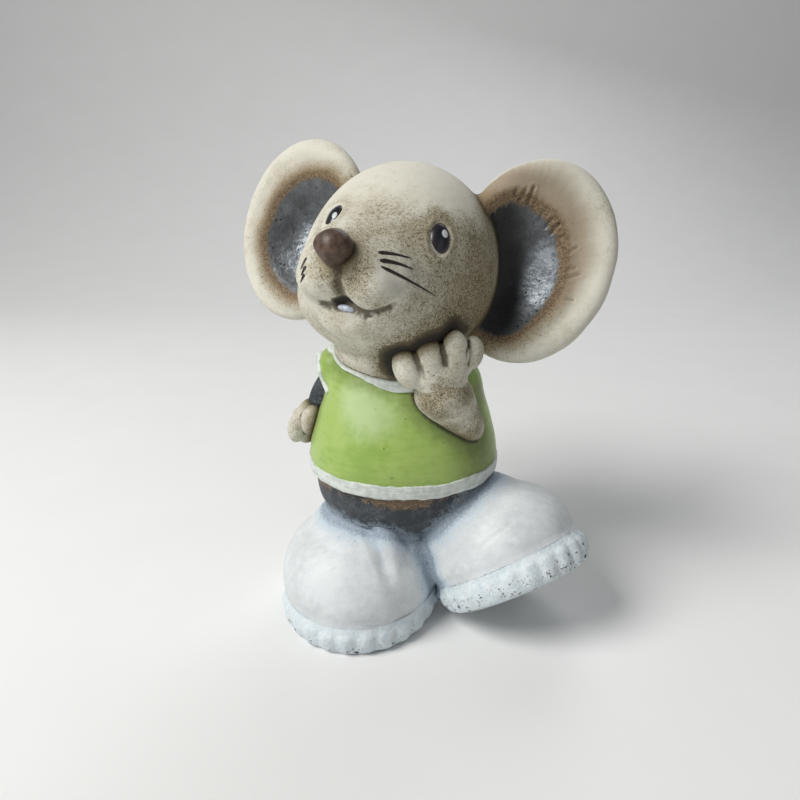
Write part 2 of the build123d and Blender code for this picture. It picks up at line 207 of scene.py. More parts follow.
def eased_rows(rows, steps):
    """A table with smooth rows between its own, told by its first column."""
    rows = np.array(rows, float)
    along = rows[:, 0]
    slopes = np.gradient(rows, along, axis=0)
    smooth = []
    for place in np.linspace(along[0], along[-1], steps):
        row = min(np.searchsorted(along, place, "right") - 1, len(along) - 2)
        gap = along[row + 1] - along[row]
        share = (place - along[row]) / gap
        smooth.append(
            rows[row] * (1 + 2 * share) * (1 - share) ** 2
            + rows[row + 1] * share**2 * (3 - 2 * share)
            + slopes[row] * gap * share * (1 - share) ** 2
            - slopes[row + 1] * gap * share**2 * (1 - share)
        )
    return smooth


class Clay:
    """Lumps pressed into one skin of even grain, which the tools below then work."""

    def __init__(self, name, lumps, grain, settle=6):
        mesh = bpy.data.meshes.new(name)
        lumps.to_mesh(mesh)
        lumps.free()
        self.name = name
        self.grain = grain * coarse
        self.piece = bpy.data.objects.new(name, mesh)
        bpy.context.scene.collection.objects.link(self.piece)
        skin = self.piece.modifiers.new("skin", "REMESH")
        skin.mode = "VOXEL"
        skin.voxel_size = self.grain
        skin.use_smooth_shade = True
        rubbed = self.piece.modifiers.new("rubbed", "SMOOTH")
        rubbed.factor = 0.5
        rubbed.iterations = int(settle)
        self.set_modifiers()

    def set_modifiers(self):
        """Makes what the modifiers show the mesh itself."""
        shown = self.piece.evaluated_get(bpy.context.evaluated_depsgraph_get())
        old = self.piece.data
        mesh = bpy.data.meshes.new_from_object(shown)
        self.piece.modifiers.clear()
        self.piece.data = mesh
        name = old.name
        bpy.data.meshes.remove(old)
        mesh.name = name
        self.read()

    def read(self):
        mesh = self.piece.data
        self.points = read_rows(mesh.vertices, "co", 3).astype(float)
        self.edges = read_rows(mesh.edges, "vertices", 2, np.int32)
        self.read_normals()

    def read_normals(self):
        self.normals = read_rows(self.piece.data.vertex_normals, "vector", 3).astype(float)

    def put(self, points):
        self.points = points
        mesh = self.piece.data
        mesh.vertices.foreach_set("co", points.astype(np.float32).ravel())
        mesh.update()
        self.read_normals()

    def press(self, amount):
        """Moves the skin out by an amount in millimetres, or in where it is negative."""
        self.put(self.points + self.normals * np.asarray(amount)[:, None])

    def shift(self, amount, way):
        """Moves the skin one way, by an amount for each point."""
        self.put(self.points + np.outer(amount, way))

    def rubbed(self, times, where=1.0):
        """The points as a damp sponge would leave them."""
        points = self.points.copy()
        first, second = self.edges.T
        count = len(points)
        links = np.bincount(first, minlength=count) + np.bincount(second, minlength=count)
        pull = 0.5 * np.broadcast_to(where, count)[:, None]
        for _ in range(int(times)):
            total = np.stack(
                [
                    np.bincount(first, points[second, axis], count)
                    + np.bincount(second, points[first, axis], count)
                    for axis in range(3)
                ],
                1,
            )
            points = points + pull * (total / links[:, None] - points)
        return points

    def tree(self):
        bpy.context.view_layer.update()
        return BVHTree.FromObject(self.piece, bpy.context.evaluated_depsgraph_get())

    def hollows(self, size):
        """How far the skin lies under its own smoothed form, in millimetres."""
        times = (size / self.grain) ** 2 * 2
        return np.sum((self.rubbed(times) - self.points) * self.normals, 1)

    def keep(self, name, values):
        """Stores numbers on the skin for the paint to read."""
        kind = "FLOAT_VECTOR" if np.ndim(values) == 2 else "FLOAT"
        slot = self.piece.data.attributes.new(name, kind, "POINT")
        word = "vector" if kind == "FLOAT_VECTOR" else "value"
        slot.data.foreach_set(word, np.asarray(values, np.float32).ravel())


def bead(name, grain, settle, place, *halves):
    """A piece that is one ball, told by its place and its three half widths."""
    lumps = bmesh.new()
    ball(lumps, place, *halves)
    return Clay(name, lumps, grain, settle)


def gaps(points, trees, far):
    """Distance from each point to the nearest of some skins, up to far."""
    found = np.full(len(points), far, float)
    for tree in trees:
        for number, point in enumerate(points):
            hit = tree.find_nearest(point, found[number])
            if hit[3] is not None:
                found[number] = min(found[number], hit[3])
    return found


def depths(points, tree, far):
    """How deep each point lies inside a skin, negative outside it, up to far."""
    found = np.full(len(points), -far, float)
    for number, point in enumerate(points):
        near, normal, _, away = tree.find_nearest(point, far)
        if near is not None:
            inside = (near - Vector(point)).dot(normal) > 0
            found[number] = away if inside else -away
    return found


def work_together(first, second, reach, times):
    """Fills the corner between two pieces with a soft fillet, and gives it to both."""
    lumps = bmesh.new()
    lumps.from_mesh(first.piece.data)
    lumps.from_mesh(second.piece.data)
    joint = Clay("joint", lumps, min(first.grain, second.grain) / coarse, 0)
    first_tree, second_tree = first.tree(), second.tree()
    away = np.maximum(
        gaps(joint.points, [first_tree], reach),
        gaps(joint.points, [second_tree], reach),
    )
    joint.put(joint.rubbed(times, 1 - ease(away, 0.3 * reach, reach)))
    joint_tree = joint.tree()
    for clay, other in ((first, second_tree), (second, first_tree)):
        deep = depths(clay.points, other, reach)
        share = fall(-deep, 0.5 * reach, reach) * fall(deep, 0.5, 0.45 * reach)
        points = clay.points.copy()
        for number in np.nonzero(share > 0.01)[0]:
            near = joint_tree.find_nearest(points[number])[0]
            points[number] += share[number] * (np.array(near) - points[number])
        clay.put(points)
    bpy.data.objects.remove(joint.piece)


def finish(clay, paint):
    """Brings a piece to metres, paints it and puts it where its solid is."""
    piece = clay.piece
    piece.data.transform(Matrix.Scale(millimetre, 4))
    piece.data.polygons.foreach_set("use_smooth", [True] * len(piece.data.polygons))
    piece.data.materials.clear()
    piece.data.materials.append(paint)
    piece.data.update()
    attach(piece, "root")
    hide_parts(clay.name)


# Paint: sums and products of values make the nodes that they need
class Value:
    """A number that varies over a surface."""

    def __init__(self, paint, socket):
        self.paint = paint
        self.socket = socket

    def __add__(self, other):
        return self.paint.maths("ADD", self, other)

    __radd__ = __add__

    def __sub__(self, other):
        return self.paint.maths("SUBTRACT", self, other)

    def __rsub__(self, other):
        return self.paint.maths("SUBTRACT", other, self)

    def __mul__(self, other):
        return self.paint.maths("MULTIPLY", self, other)

    __rmul__ = __mul__

    def __truediv__(self, other):
        return self.paint.maths("DIVIDE", self, other)

    def swing(self, amount):
        """A cloud brought round zero, and made stronger or weaker."""
        return (self - 0.5) * amount


class Paint:
    """One finish, mixed from its nodes."""

    def __init__(self, name, roughness=0.5, coat=0.0, specular=0.5):
        self.material = bpy.data.materials.new(name)
        self.material.use_nodes = True
        self.tree = self.material.node_tree
        self.surface = self.tree.nodes["Principled BSDF"]
        self.surface.inputs["Roughness"].default_value = roughness
        self.surface.inputs["Coat Weight"].default_value = coat
        self.surface.inputs["Specular IOR Level"].default_value = specular
        self.place = self.node("ShaderNodeTexCoord").outputs["Object"]

    def node(self, kind, settings=None, sockets=None):
        """A node of a type, with its settings made first and then its sockets."""
        made = self.tree.nodes.new(kind)
        for name, setting in (settings or {}).items():
            setattr(made, name, setting)
        for name, given in (sockets or {}).items():
            if isinstance(given, Value):
                given = given.socket
            if isinstance(given, bpy.types.NodeSocket):
                self.tree.links.new(given, made.inputs[name])
            else:
                made.inputs[name].default_value = given
        return made

    def maths(self, operation, *given):
        made = self.node("ShaderNodeMath", {"operation": operation}, dict(enumerate(given)))
        return Value(self, made.outputs[0])

    def both(self, first, second):
        """The larger of two values."""
        return self.maths("MAXIMUM", first, second)

    def step(self, value, low, high):
        """A soft step from 0 to 1, as a value passes from low to high."""
        settings = {"interpolation_type": "SMOOTHSTEP"}
        sockets = {0: value, 1: low, 2: high}
        return Value(self, self.node("ShaderNodeMapRange", settings, sockets).outputs[0])

    def kept(self, name):
        """Numbers stored on the skin."""
        made = self.node("ShaderNodeAttribute", {"attribute_name": name})
        return Value(self, made.outputs["Fac"])

    def kept_vector(self, name):
        return self.node("ShaderNodeAttribute", {"attribute_name": name}).outputs["Vector"]

    def clouds(self, size, detail=2.0, rough=0.5, vector=None):
        """Soft noise with forms of a size in millimetres, around one half."""
        sockets = {
            "Vector": self.place if vector is None else vector,
            "Scale": 1 / (size * millimetre) if vector is None else size,
            "Detail": detail,
            "Roughness": rough,
        }
        return Value(self, self.node("ShaderNodeTexNoise", None, sockets).outputs["Fac"])

    def stretched(self, turn_degrees, across, along, height):
        """Object places squeezed for strokes that run one way, told in millimetres."""
        sockets = {
            "Vector": self.place,
            "Rotation": [radians(angle) for angle in turn_degrees],
            "Scale": [1 / (size * millimetre) for size in (across, along, height)],
        }
        return self.node("ShaderNodeMapping", None, sockets).outputs[0]

    def specks(self, size, share, dot):
        """Round specks in cells of a size, in the given share of the cells."""
        sockets = {"Vector": self.place, "Scale": 1 / (size * millimetre)}
        cells = self.node("ShaderNodeTexVoronoi", None, sockets)
        chance = self.node("ShaderNodeSeparateColor", None, {0: cells.outputs["Color"]})
        lucky = Value(self, chance.outputs[0])
        width = Value(self, chance.outputs[1])
        away = Value(self, cells.outputs["Distance"])
        kept = self.step(lucky + share, 0.98, 1.04)
        return kept * (1 - self.step(away / (0.6 + 0.8 * width), 0.55 * dot, dot))

    def mixed(self, below, above, share):
        """One colour painted over another, in a share from 0 to 1."""
        settings = {"data_type": "RGBA", "clamp_factor": True}
        below = (*below, 1) if isinstance(below, tuple) else below
        above = (*above, 1) if isinstance(above, tuple) else above
        made = self.node("ShaderNodeMix", settings, {0: share, 6: below, 7: above})
        return made.outputs[2]

    def over(self, colour, share):
        """Lays a colour over the ones before it."""
        self.body = self.mixed(self.body, colour, share)

    def relief(self, height):
        """Bumps, with their height given in millimetres."""
        sockets = {"Height": height, "Distance": millimetre, "Strength": 1.0}
        return self.node("ShaderNodeBump", None, sockets).outputs[0]

    def lay(self, **sockets):
        """Joins the colour and other values to the surface's own sockets, and gives the material."""
        for name, given in {"Base_Color": self.body, **sockets}.items():
            socket = self.surface.inputs[name.replace("_", " ")]
            if isinstance(given, Value):
                given = given.socket
            if isinstance(given, bpy.types.NodeSocket):
                self.tree.links.new(given, socket)
            else:
                socket.default_value = given
        return self.material


# Colours of the glazes and washes, and of the painted light and shade
cream = (0.68, 0.66, 0.57)
cream_warm = (0.58, 0.53, 0.40)
tan = (0.25, 0.205, 0.110)
umber = (0.075, 0.055, 0.028)
# painted shadow: the darkest shade under the fist and where the cloth meets other pieces, and the dark of
# the mouth
shade_black = (0.022, 0.020, 0.017)
# ear
ear_brown = (0.27, 0.19, 0.110)
rust_pale = (0.30, 0.22, 0.13)
rust_deep = (0.12, 0.075, 0.038)
rust_black = (0.05, 0.034, 0.022)
graphite_dark = (0.085, 0.090, 0.095)
graphite_pale = (0.14, 0.15, 0.16)
# painted highlight of silver on the bowl
highlight_silver_dark = (0.17, 0.19, 0.21)
highlight_silver_pale = (0.34, 0.38, 0.42)
pit_black = (0.010, 0.010, 0.011)
# painted shade in the bowl beside the head
bowl_shade_black = (0.016, 0.017, 0.015)
# shirt
green_deep = (0.27, 0.41, 0.085)
green_fresh = (0.36, 0.50, 0.13)
# painted sheen on the front of the shirt
green_pale_sheen = (0.50, 0.63, 0.33)
# olive stain and painted shade
olive_and_shade = (0.145, 0.165, 0.040)
# olive wear and painted shade near the arms and the head
olive_wear_and_shade = (0.14, 0.18, 0.060)
# painted shade in the creases against the arms and the head
olive_crease_shade = (0.040, 0.040, 0.022)
# stain and painted shade in the corner under the ear
shirt_stain_and_shade = (0.032, 0.028, 0.018)
green_pit = (0.10, 0.13, 0.035)
green_chip = (0.03, 0.03, 0.015)
# trim
trim_dull = (0.52, 0.57, 0.52)
trim_bright = (0.70, 0.74, 0.70)
# grime and painted shade near the neighbouring pieces
trim_grime_and_shade = (0.30, 0.31, 0.24)
trim_speck = (0.20, 0.19, 0.15)
# trousers
blue_black = (0.030, 0.036, 0.042)
blue_grey = (0.080, 0.092, 0.105)
rusty_brown = (0.19, 0.120, 0.062)
rusty_tan = (0.36, 0.27, 0.17)
ankle_haze = (0.24, 0.29, 0.34)
# shoes
dome_dull = (0.62, 0.65, 0.66)
dome_bright = (0.75, 0.78, 0.79)
sole_dull = (0.60, 0.70, 0.75)
sole_bright = (0.78, 0.83, 0.85)
mist_blue = (0.50, 0.61, 0.70)
# blue mist and painted shade between the shoes
slate_blue_and_shade = (0.18, 0.23, 0.30)
# painted shade in the hollows
hollow_shade_blue = (0.36, 0.43, 0.52)
# painted shade where the pieces touch
contact_shade_grey = (0.13, 0.15, 0.18)
fleck_blue = (0.10, 0.13, 0.19)
navy = (0.022, 0.032, 0.050)
# floor
floor_dull = (0.84, 0.84, 0.83)
floor_pale = (0.88, 0.88, 0.87)
# nose, eyes, whiskers and tooth
nose_deep = (0.062, 0.036, 0.024)
nose_brown = (0.115, 0.070, 0.048)
nose_dark = (0.020, 0.012, 0.009)
eye_black = (0.006, 0.007, 0.012)
eye_edge = (0.025, 0.020, 0.022)
glint_white = (0.66, 0.69, 0.67)
stroke_black = (0.012, 0.008, 0.006)
stroke_brown = (0.05, 0.03, 0.02)
tooth_shade = (0.34, 0.38, 0.45)
tooth_bright = (0.50, 0.54, 0.61)
tooth_gap = (0.10, 0.09, 0.09)


def bisque(name):
    """Bare cream clay with a brown wash, which stays in the hollows, and a fine stipple, with painted
    shade in the hollows, in the joints and under the fist.
    """
    paint = Paint(name, roughness=0.62, specular=0.3)
    hollow = paint.kept("hollow")
    near = paint.kept("near")
    wash_and_painted_light = paint.kept("wash_and_painted_light")
    crease = paint.kept("crease")
    broad = paint.clouds(14, 3)
    mottle = paint.clouds(2.6, 4, 0.65)
    fine = paint.clouds(0.85, 4, 0.75)
    grain = paint.clouds(0.36, 2, 0.7)
    # The level carries the brown wash, and painted shade on the head and near the joints
    level = wash_and_painted_light + broad.swing(0.5) + mottle.swing(0.8)
    paint.body = paint.mixed(cream, cream_warm, paint.step(broad + mottle.swing(0.6), 0.42, 0.75) * 0.45)
    paint.over(tan, paint.step(level, 0.05, 1.20) * 0.70)
    stipple = paint.step(grain * 0.60 + fine * 0.40 + level * 0.08, 0.50, 0.60)
    paint.over(tan, stipple * paint.step(level, -0.25, 0.8) * 0.65)
    dots = paint.step(grain * 0.65 + fine * 0.35 + level * 0.09, 0.60, 0.66)
    paint.over(umber, dots * paint.step(level, -0.1, 0.9) * 0.85)
    spots = paint.specks(1.6, 0.02 + wash_and_painted_light * 0.08, 0.16)
    paint.over(umber, spots * 0.8)
    # Darker in the hollows: brown wash settled there, and painted shade
    hollow_wash_and_shade = paint.step(hollow + fine.swing(0.12), 0.05, 0.34)
    # Darker near the neighbouring pieces: brown wash in the joints, and painted shade where they meet
    joint = paint.step(near + mottle.swing(2.6) + fine.swing(2.2), 3.6, 0.2)
    deep = paint.step(near + mottle.swing(1.0) + fine.swing(1.4), 1.5, -0.1)
    # Drawn lines of the mouth, the smile and the fingers, and painted shadow under the fist and in the
    # collar
    drawn_and_shade = paint.step(crease + fine.swing(1.1) + mottle.swing(0.9), 0.25, 0.95)
    paint.over(tan, joint * 0.75)
    paint.over(umber, paint.both(paint.both(hollow_wash_and_shade, deep), drawn_and_shade) * 0.88)
    # Painted shadow under the fist, and the dark of the mouth
    paint.over(shade_black, paint.step(crease + fine.swing(0.3), 1.0, 1.9) * 0.9)
    height = fine.swing(0.08) + grain.swing(0.06) - spots * 0.05 + mottle.swing(0.08) - stipple * 0.03
    rough = 0.68 - hollow_wash_and_shade * 0.12 - broad.swing(0.2)
    return paint, height, rough, mottle, fine, grain


def bisque_finish(name):
    paint, height, rough, *_ = bisque(name)
    return paint.lay(Roughness=rough, Normal=paint.relief(height))


def ear_finish():
    """Cream rim, a stippled rusty ring with tool scratches, and a satin graphite bowl, with a painted
    highlight of silver on the bowl and painted shade in it beside the head.
    """
    paint, height, rough, mottle, fine, grain = bisque("ear_glaze")
    bowl = paint.kept("bowl")
    frill = paint.kept("frill")
    sheen = paint.kept("sheen")
    ray = paint.kept_vector("ray")
    strokes = paint.clouds(15, 2, 0.6, ray)
    edge = bowl + mottle.swing(0.12) + fine.swing(0.14) + strokes.swing(0.14) * frill
    ring = paint.step(edge - frill * 0.10, 1.16, 1.05)
    brown = paint.step(edge + grain.swing(0.25) - frill * 0.42, 1.40, 0.95)
    paint.over(ear_brown, brown * 0.75)
    rust = paint.mixed(rust_pale, rust_deep, paint.step(fine * 0.5 + grain * 0.5, 0.40, 0.58))
    rust = paint.mixed(rust, rust_black, paint.step(grain * 0.5 + mottle * 0.5, 0.54, 0.64))
    paint.over(rust, ring * 0.92)
    dark = paint.step(edge, 1.03, 0.95)
    cloud = paint.clouds(5.0, 3, 0.6)
    graphite = paint.mixed(graphite_dark, graphite_pale, paint.step(cloud + fine.swing(0.5), 0.36, 0.70))
    # Painted highlight: a silver patch where the bowl would catch the light, placed by sheen
    highlight_silver = paint.mixed(highlight_silver_dark, highlight_silver_pale, paint.step(mottle * 0.6 + fine * 0.4, 0.40, 0.60))
    painted_highlight = paint.step(sheen + mottle.swing(0.9) + fine.swing(0.5), 0.25, 1.0)
    graphite = paint.mixed(graphite, highlight_silver, painted_highlight)
    pits = paint.specks(1.45, 0.16 + sheen * 0.34, 0.22)
    graphite = paint.mixed(graphite, pit_black, pits * 0.9)
    paint.over(graphite, dark)
    # Painted shade in the bowl, darkest beside the head
    shade = paint.step(paint.kept("shade") + mottle.swing(0.4), 0.2, 1.0)
    paint.over(bowl_shade_black, shade * 0.9 * dark)
    peel = paint.clouds(1.5, 2, 0.5)
    height = height * (1 - dark) + dark * (peel.swing(0.30) - pits * 0.25)
    height = height + ring * (1 - dark) * (grain.swing(0.25) + fine.swing(0.25))
    rough = rough * (1 - dark) + dark * (0.44 + peel.swing(0.2) - sheen * 0.06)
    return paint.lay(
        Roughness=rough,
        Metallic=dark * 0.22,
        Normal=paint.relief(height),
    )


def shirt_finish():
    paint = Paint("green_glaze", roughness=0.38, specular=0.45)
    near = paint.kept("near")
    broad = paint.clouds(18, 3)
    mottle = paint.clouds(3.0, 3, 0.6)
    fine = paint.clouds(0.8, 3, 0.6)
    brush = paint.clouds(1.0, 2, 0.5, paint.stretched((0, 0, 0), 9, 9, 1.3))
    shade = paint.step(broad * 0.6 + mottle * 0.25 + brush * 0.25, 0.42, 0.66)
    tone = paint.kept("wash_and_painted_light") + mottle.swing(0.35) + broad.swing(0.4)
    paint.body = paint.mixed(green_deep, green_fresh, shade)
    # Painted sheen, paler, where the laid level is high
    paint.over(green_pale_sheen, paint.step(tone, 0.15, 1.0) * 0.85)
    # Olive stain and painted shade where it is low
    paint.over(olive_and_shade, paint.step(tone, -0.15, -1.0) * 0.85)
    # Olive wear and painted shade near the arms and the head
    wear_and_shade = paint.step(near + mottle.swing(4.0) + fine.swing(2.0), 7.0, 1.0)
    paint.over(olive_wear_and_shade, wear_and_shade * 0.55)
    # Painted shade in the creases against the arms and the head
    paint.over(olive_crease_shade, paint.step(near + fine.swing(1.0), 1.6, 0.2) * 0.9)
    # Stain and painted shade in the corner under the ear
    paint.over(shirt_stain_and_shade, paint.step(paint.kept("crease") + mottle.swing(0.6), 0.2, 1.0) * 0.9)
    pits = paint.specks(2.2, 0.16 + wear_and_shade * 0.35, 0.14)
    chips = paint.specks(5.5, 0.05, 0.10)
    paint.over(green_pit, pits * 0.55)
    paint.over(green_chip, chips * 0.8)
    height = fine.swing(0.05) + brush.swing(0.07) + mottle.swing(0.08) - pits * 0.12 - chips * 0.1
    rough = 0.36 + mottle.swing(0.2) + wear_and_shade * 0.15
    return paint.lay(Roughness=rough, Normal=paint.relief(height))


def trim_finish():
    paint = Paint("white_trim", roughness=0.42, specular=0.45)
    mottle = paint.clouds(2.2, 3, 0.6)
    fine = paint.clouds(0.7, 3, 0.6)
    brush = paint.clouds(1.0, 2, 0.5, paint.stretched((0, 0, 0), 8, 8, 0.9))
    near = paint.kept("near")
    paint.body = paint.mixed(trim_dull, trim_bright, paint.step(brush * 0.4 + mottle * 0.6, 0.38, 0.6))
    # Grime and painted shade near the neighbouring pieces
    paint.over(trim_grime_and_shade, paint.step(near + fine.swing(0.8), 0.9, 0.1) * 0.55)
    paint.over(trim_speck, paint.specks(1.6, 0.05, 0.16) * 0.6)
    height = brush.swing(0.04) + mottle.swing(0.10) + fine.swing(0.06)
    return paint.lay(Roughness=0.42, Normal=paint.relief(height))


def trousers_finish():
    """Dark blue-grey undercoat with rusty brown showing under the hem."""
    paint = Paint("dark_undercoat", roughness=0.5, specular=0.4)
    near = paint.kept("near")
    rust_mark = paint.kept("wash_and_painted_light")
    mottle = paint.clouds(3.2, 4, 0.65)
    fine = paint.clouds(0.8, 3, 0.65)
    paint.body = paint.mixed(blue_black, blue_grey, paint.step(mottle * 0.7 + fine * 0.3, 0.4, 0.70))
    rusty = paint.step(rust_mark + mottle.swing(1.5) + fine.swing(1.2), 0.45, 1.0)
    paint.over(rusty_brown, rusty * 0.8)
    paint.over(rusty_tan, paint.step(rusty * fine, 0.50, 0.64) * 0.6)
    # Painted shade where the cloth meets the neighbouring pieces
    paint.over(shade_black, paint.step(near + fine.swing(0.4), 1.0, 0.1) * 0.5)
    dust = paint.step(paint.kept("dust") + mottle.swing(1.6) + fine.swing(1.5), 0.45, 1.25)
    paint.over(ankle_haze, dust * 0.9)
    height = fine.swing(0.12) + mottle.swing(0.12)
    return paint.lay(Roughness=0.52, Normal=paint.relief(height))


def shoe_finish(name, rough_coat):
    """Warm white dome with a pale blue mist at its edges, or the rougher bluish sole, with painted shade
    between the shoes, in the hollows and where the pieces touch.
    """
    paint = Paint(name, roughness=0.5, specular=0.4)
    near = paint.kept("near")
    mist_and_shade = paint.kept("wash_and_painted_light")
    hollow = paint.kept("hollow")
    broad = paint.clouds(16, 3)
    mottle = paint.clouds(2.4, 4, 0.65)
    fine = paint.clouds(0.7, 3, 0.7)
    grain = paint.clouds(0.4, 2, 0.6)
    brush = paint.clouds(1.0, 3, 0.6, paint.stretched((20, 35, 30), 7, 1.2, 5))
    strokes = broad * 0.5 + mottle * 0.3 + brush * 0.2
    white = paint.mixed(dome_dull, dome_bright, paint.step(strokes, 0.38, 0.62))
    if rough_coat:
        white = paint.mixed(sole_dull, sole_bright, paint.step(mottle * 0.6 + fine * 0.4, 0.36, 0.62))
    misted = paint.step(mist_and_shade + mottle.swing(0.9) + fine.swing(1.0) + grain.swing(0.6), 0.30, 1.05)
    paint.body = paint.mixed(white, mist_blue, misted * 0.72)
    # Blue mist and painted shade, darkest between the shoes and against the hips
    dark_mist_and_shade = paint.step(mist_and_shade + fine.swing(1.0) + grain.swing(0.6), 0.88, 1.50)
    paint.over(slate_blue_and_shade, dark_mist_and_shade * 0.72)
    # Painted shade in the hollows
    paint.over(hollow_shade_blue, paint.step(hollow + fine.swing(0.15), 0.06, 0.40) * 0.5)
    # Painted shade where the pieces touch
    paint.over(contact_shade_grey, paint.step(near + fine.swing(0.8), 1.0, 0.1) * 0.35)
    fleck = paint.specks(1.3, 0.02 + misted * 0.16, 0.18)
    paint.over(fleck_blue, fleck * 0.75)
    if rough_coat:
        scuffs = paint.step(fine * 0.6 + mottle * 0.4, 0.565, 0.615)
        chips = paint.both(paint.specks(2.9, 0.50, 0.24), scuffs)
        low = paint.step(paint.kept("low") + broad.swing(1.4), 0.28, 0.58)
        paint.over(navy, chips * low * 0.95)
        height = mottle.swing(0.40) + fine.swing(0.22) + grain.swing(0.10) - chips * low * 0.2
    else:
        height = mottle.swing(0.16) + fine.swing(0.10) + brush.swing(0.08) + misted * grain.swing(0.22)
    return paint.lay(Roughness=0.50 + misted * 0.15, Normal=paint.relief(height))


def nose_finish():
    paint = Paint("nose_glaze", roughness=0.46, specular=0.45)
    mottle = paint.clouds(1.8, 3, 0.6)
    fine = paint.clouds(0.5, 2, 0.6)
    near = paint.kept("near")
    paint.body = paint.mixed(nose_deep, nose_brown, paint.step(mottle, 0.4, 0.64))
    paint.over(nose_dark, paint.step(near + fine.swing(1.0), 2.6, 0.2) * 0.8)
    height = mottle.swing(0.16) + fine.swing(0.06)
    return paint.lay(Roughness=0.46 + mottle.swing(0.2), Normal=paint.relief(height))


def eye_finish():
    paint = Paint("eye_gloss", roughness=0.28, coat=0.15, specular=0.5)
    fine = paint.clouds(0.5, 2, 0.5)
    glint = paint.kept("glint") + fine.swing(0.12)
    paint.body = paint.mixed(eye_black, eye_edge, paint.step(paint.kept("near"), 1.0, 0.1))
    paint.over(glint_white, paint.step(glint, 1.12, 0.84))
    return paint.lay(Normal=paint.relief(fine.swing(0.02)))


def stroke_finish():
    paint = Paint("whisker_line", roughness=0.45)
    fine = paint.clouds(0.5, 2, 0.6)
    paint.body = paint.mixed(stroke_black, stroke_brown, paint.step(fine, 0.5, 0.7))
    return paint.lay(Normal=paint.relief(fine.swing(0.05)))


def tooth_finish():
    paint = Paint("tooth_white", roughness=0.3)
    paint.body = paint.mixed(tooth_shade, tooth_bright, paint.step(paint.clouds(0.8, 2, 0.5), 0.4, 0.6))
    paint.over(tooth_gap, paint.step(paint.kept("near"), 0.5, 0.0))
    return paint.lay()


# Head: skull, muzzle pads, jowls and chin pressed into one form
head_rows = (
    (-0.985, 0.015, 0.060, 0.060),
    (-0.945, 0.015, 0.250, 0.255),
    (-0.870, 0.015, 0.440, 0.455),
    (-0.667, 0.015, 0.690, 0.730),
    (-0.333, 0.015, 0.885, 0.945),
    (0.000, 0.015, 0.955, 1.015),
    (0.300, 0.010, 0.905, 0.975),
    (0.533, -0.020, 0.810, 0.880),
    (0.733, -0.075, 0.710, 0.735),
    (0.933, -0.165, 0.590, 0.530),
    (1.100, -0.155, 0.500, 0.345),
    (1.233, -0.105, 0.330, 0.215),
    (1.320, -0.065, 0.170, 0.120),
)
head_reach = 30.0
lumps = bmesh.new()
head_rings = []
for ahead, rise, wide, high in head_reach * np.array(eased_rows(head_rows, 40)):
    head_rings.append((face_spot(0, ahead, rise) @ turn(90, "X"), wide, high))
roll(lumps, head_rings)
for place, *halves in (
    # muzzle pads, jowls, chin and neck
    (face_spot(-7.6, 30.0, -7.8), 8.2, 8.4, 6.8),
    (face_spot(7.6, 30.0, -7.8), 8.2, 8.4, 6.8),
    (face_spot(0, 12.5, -11.5), 24.6, 17.0, 15.4),
    (face_spot(0, 23.5, -15.6), 12.5, 8.6, 7.4),
    (spot(0.3, -3.6, 90.2), 20.6, 20.6, 9.8),
):
    ball(lumps, place, *halves)
head = Clay("head", lumps, 0.45, 40)
head_sight = head.tree()

# Smile, philtrum and mouth, drawn with a tool
press = np.zeros(len(head.points))
crease = np.zeros(len(head.points))
smile_right = ((353, 307.5), (359, 311), (365, 313), (373, 313.4), (383, 311), (392, 307.5), (400, 304))
smile_left = ((336, 305), (328, 305.3), (321, 303.6), (316, 301))
dimple = ((363, 312.5), (367, 316), (369, 320))
philtrum = ((336.5, 268), (336, 276), (337, 285), (340, 294), (344, 301))
mouth_gap = ((336, 304), (343, 301.5), (351, 303.5))
lower_lip = ((336, 306), (345, 305), (354, 307))
for line, depth, width, stain, spread in (
    (smile_right, 1.0, 2.3, 1.0, 3.2),
    (smile_left, 0.7, 2.2, 0.9, 3.0),
    (dimple, 0.8, 2.0, 1.1, 3.0),
    (philtrum, 1.3, 2.6, 0.95, 3.3),
    (mouth_gap, 1.5, 2.2, 2.6, 2.6),
    (lower_lip, 1.9, 2.0, 1.6, 3.2),
):
    away, along = from_line(head.points, head_sight, line)
    fade = np.minimum(1, 4 * (1 - along) + 0.25)
    press = np.minimum(press, -depth * hill(away, width) * fade)
    crease = np.maximum(crease, stain * hill(away, spread) * np.minimum(1, 3 * (1 - along) + 0.35))
pads = ((374, 290, 8.0, 0.8), (362, 278, 8.0, 0.8), (323, 286, 6.5, 0.8))
far_brow = ((334, 216, 11.0, 0.9),)
press += smudges(head.points, head_sight, pads + far_brow)
head.press(press)
head.put(head.rubbed(3))
head.crease = crease

# Eyes, each a pressed bead with a painted glint
eye_halves = (3.4, 2.6, 5.0)
eyes = {}
eye_seats = (
    ("left_eye", (16.9, 20.8, 7.9), 40, 0, (445.2, 233.6), 0.95, 1.15),
    ("right_eye", (-10.2, 26.7, 7.3), -48, -25, (334.2, 215.0), 0.55, 1.0),
)
for name, seat, outturn, slant, glint_at, glint_wide, glint_high in eye_seats:
    place = face_spot(*seat) @ turn(outturn, "Z") @ turn(-17, "X") @ turn(slant, "Y")
    eyes[name] = (bead(name, 0.16, 4, place, *eye_halves), place, glint_at, glint_wide, glint_high)
    told = local(head.points, place)
    ring = np.hypot(told[:, 0] / eye_halves[0], told[:, 2] / eye_halves[2])
    front = ease(-told[:, 1], -3.0, 0.0)
    lid = front * (0.14 * hill(ring - 1.16, 0.22) - 0.5 * fall(ring, 0.8, 1.05))
    head.press(lid)

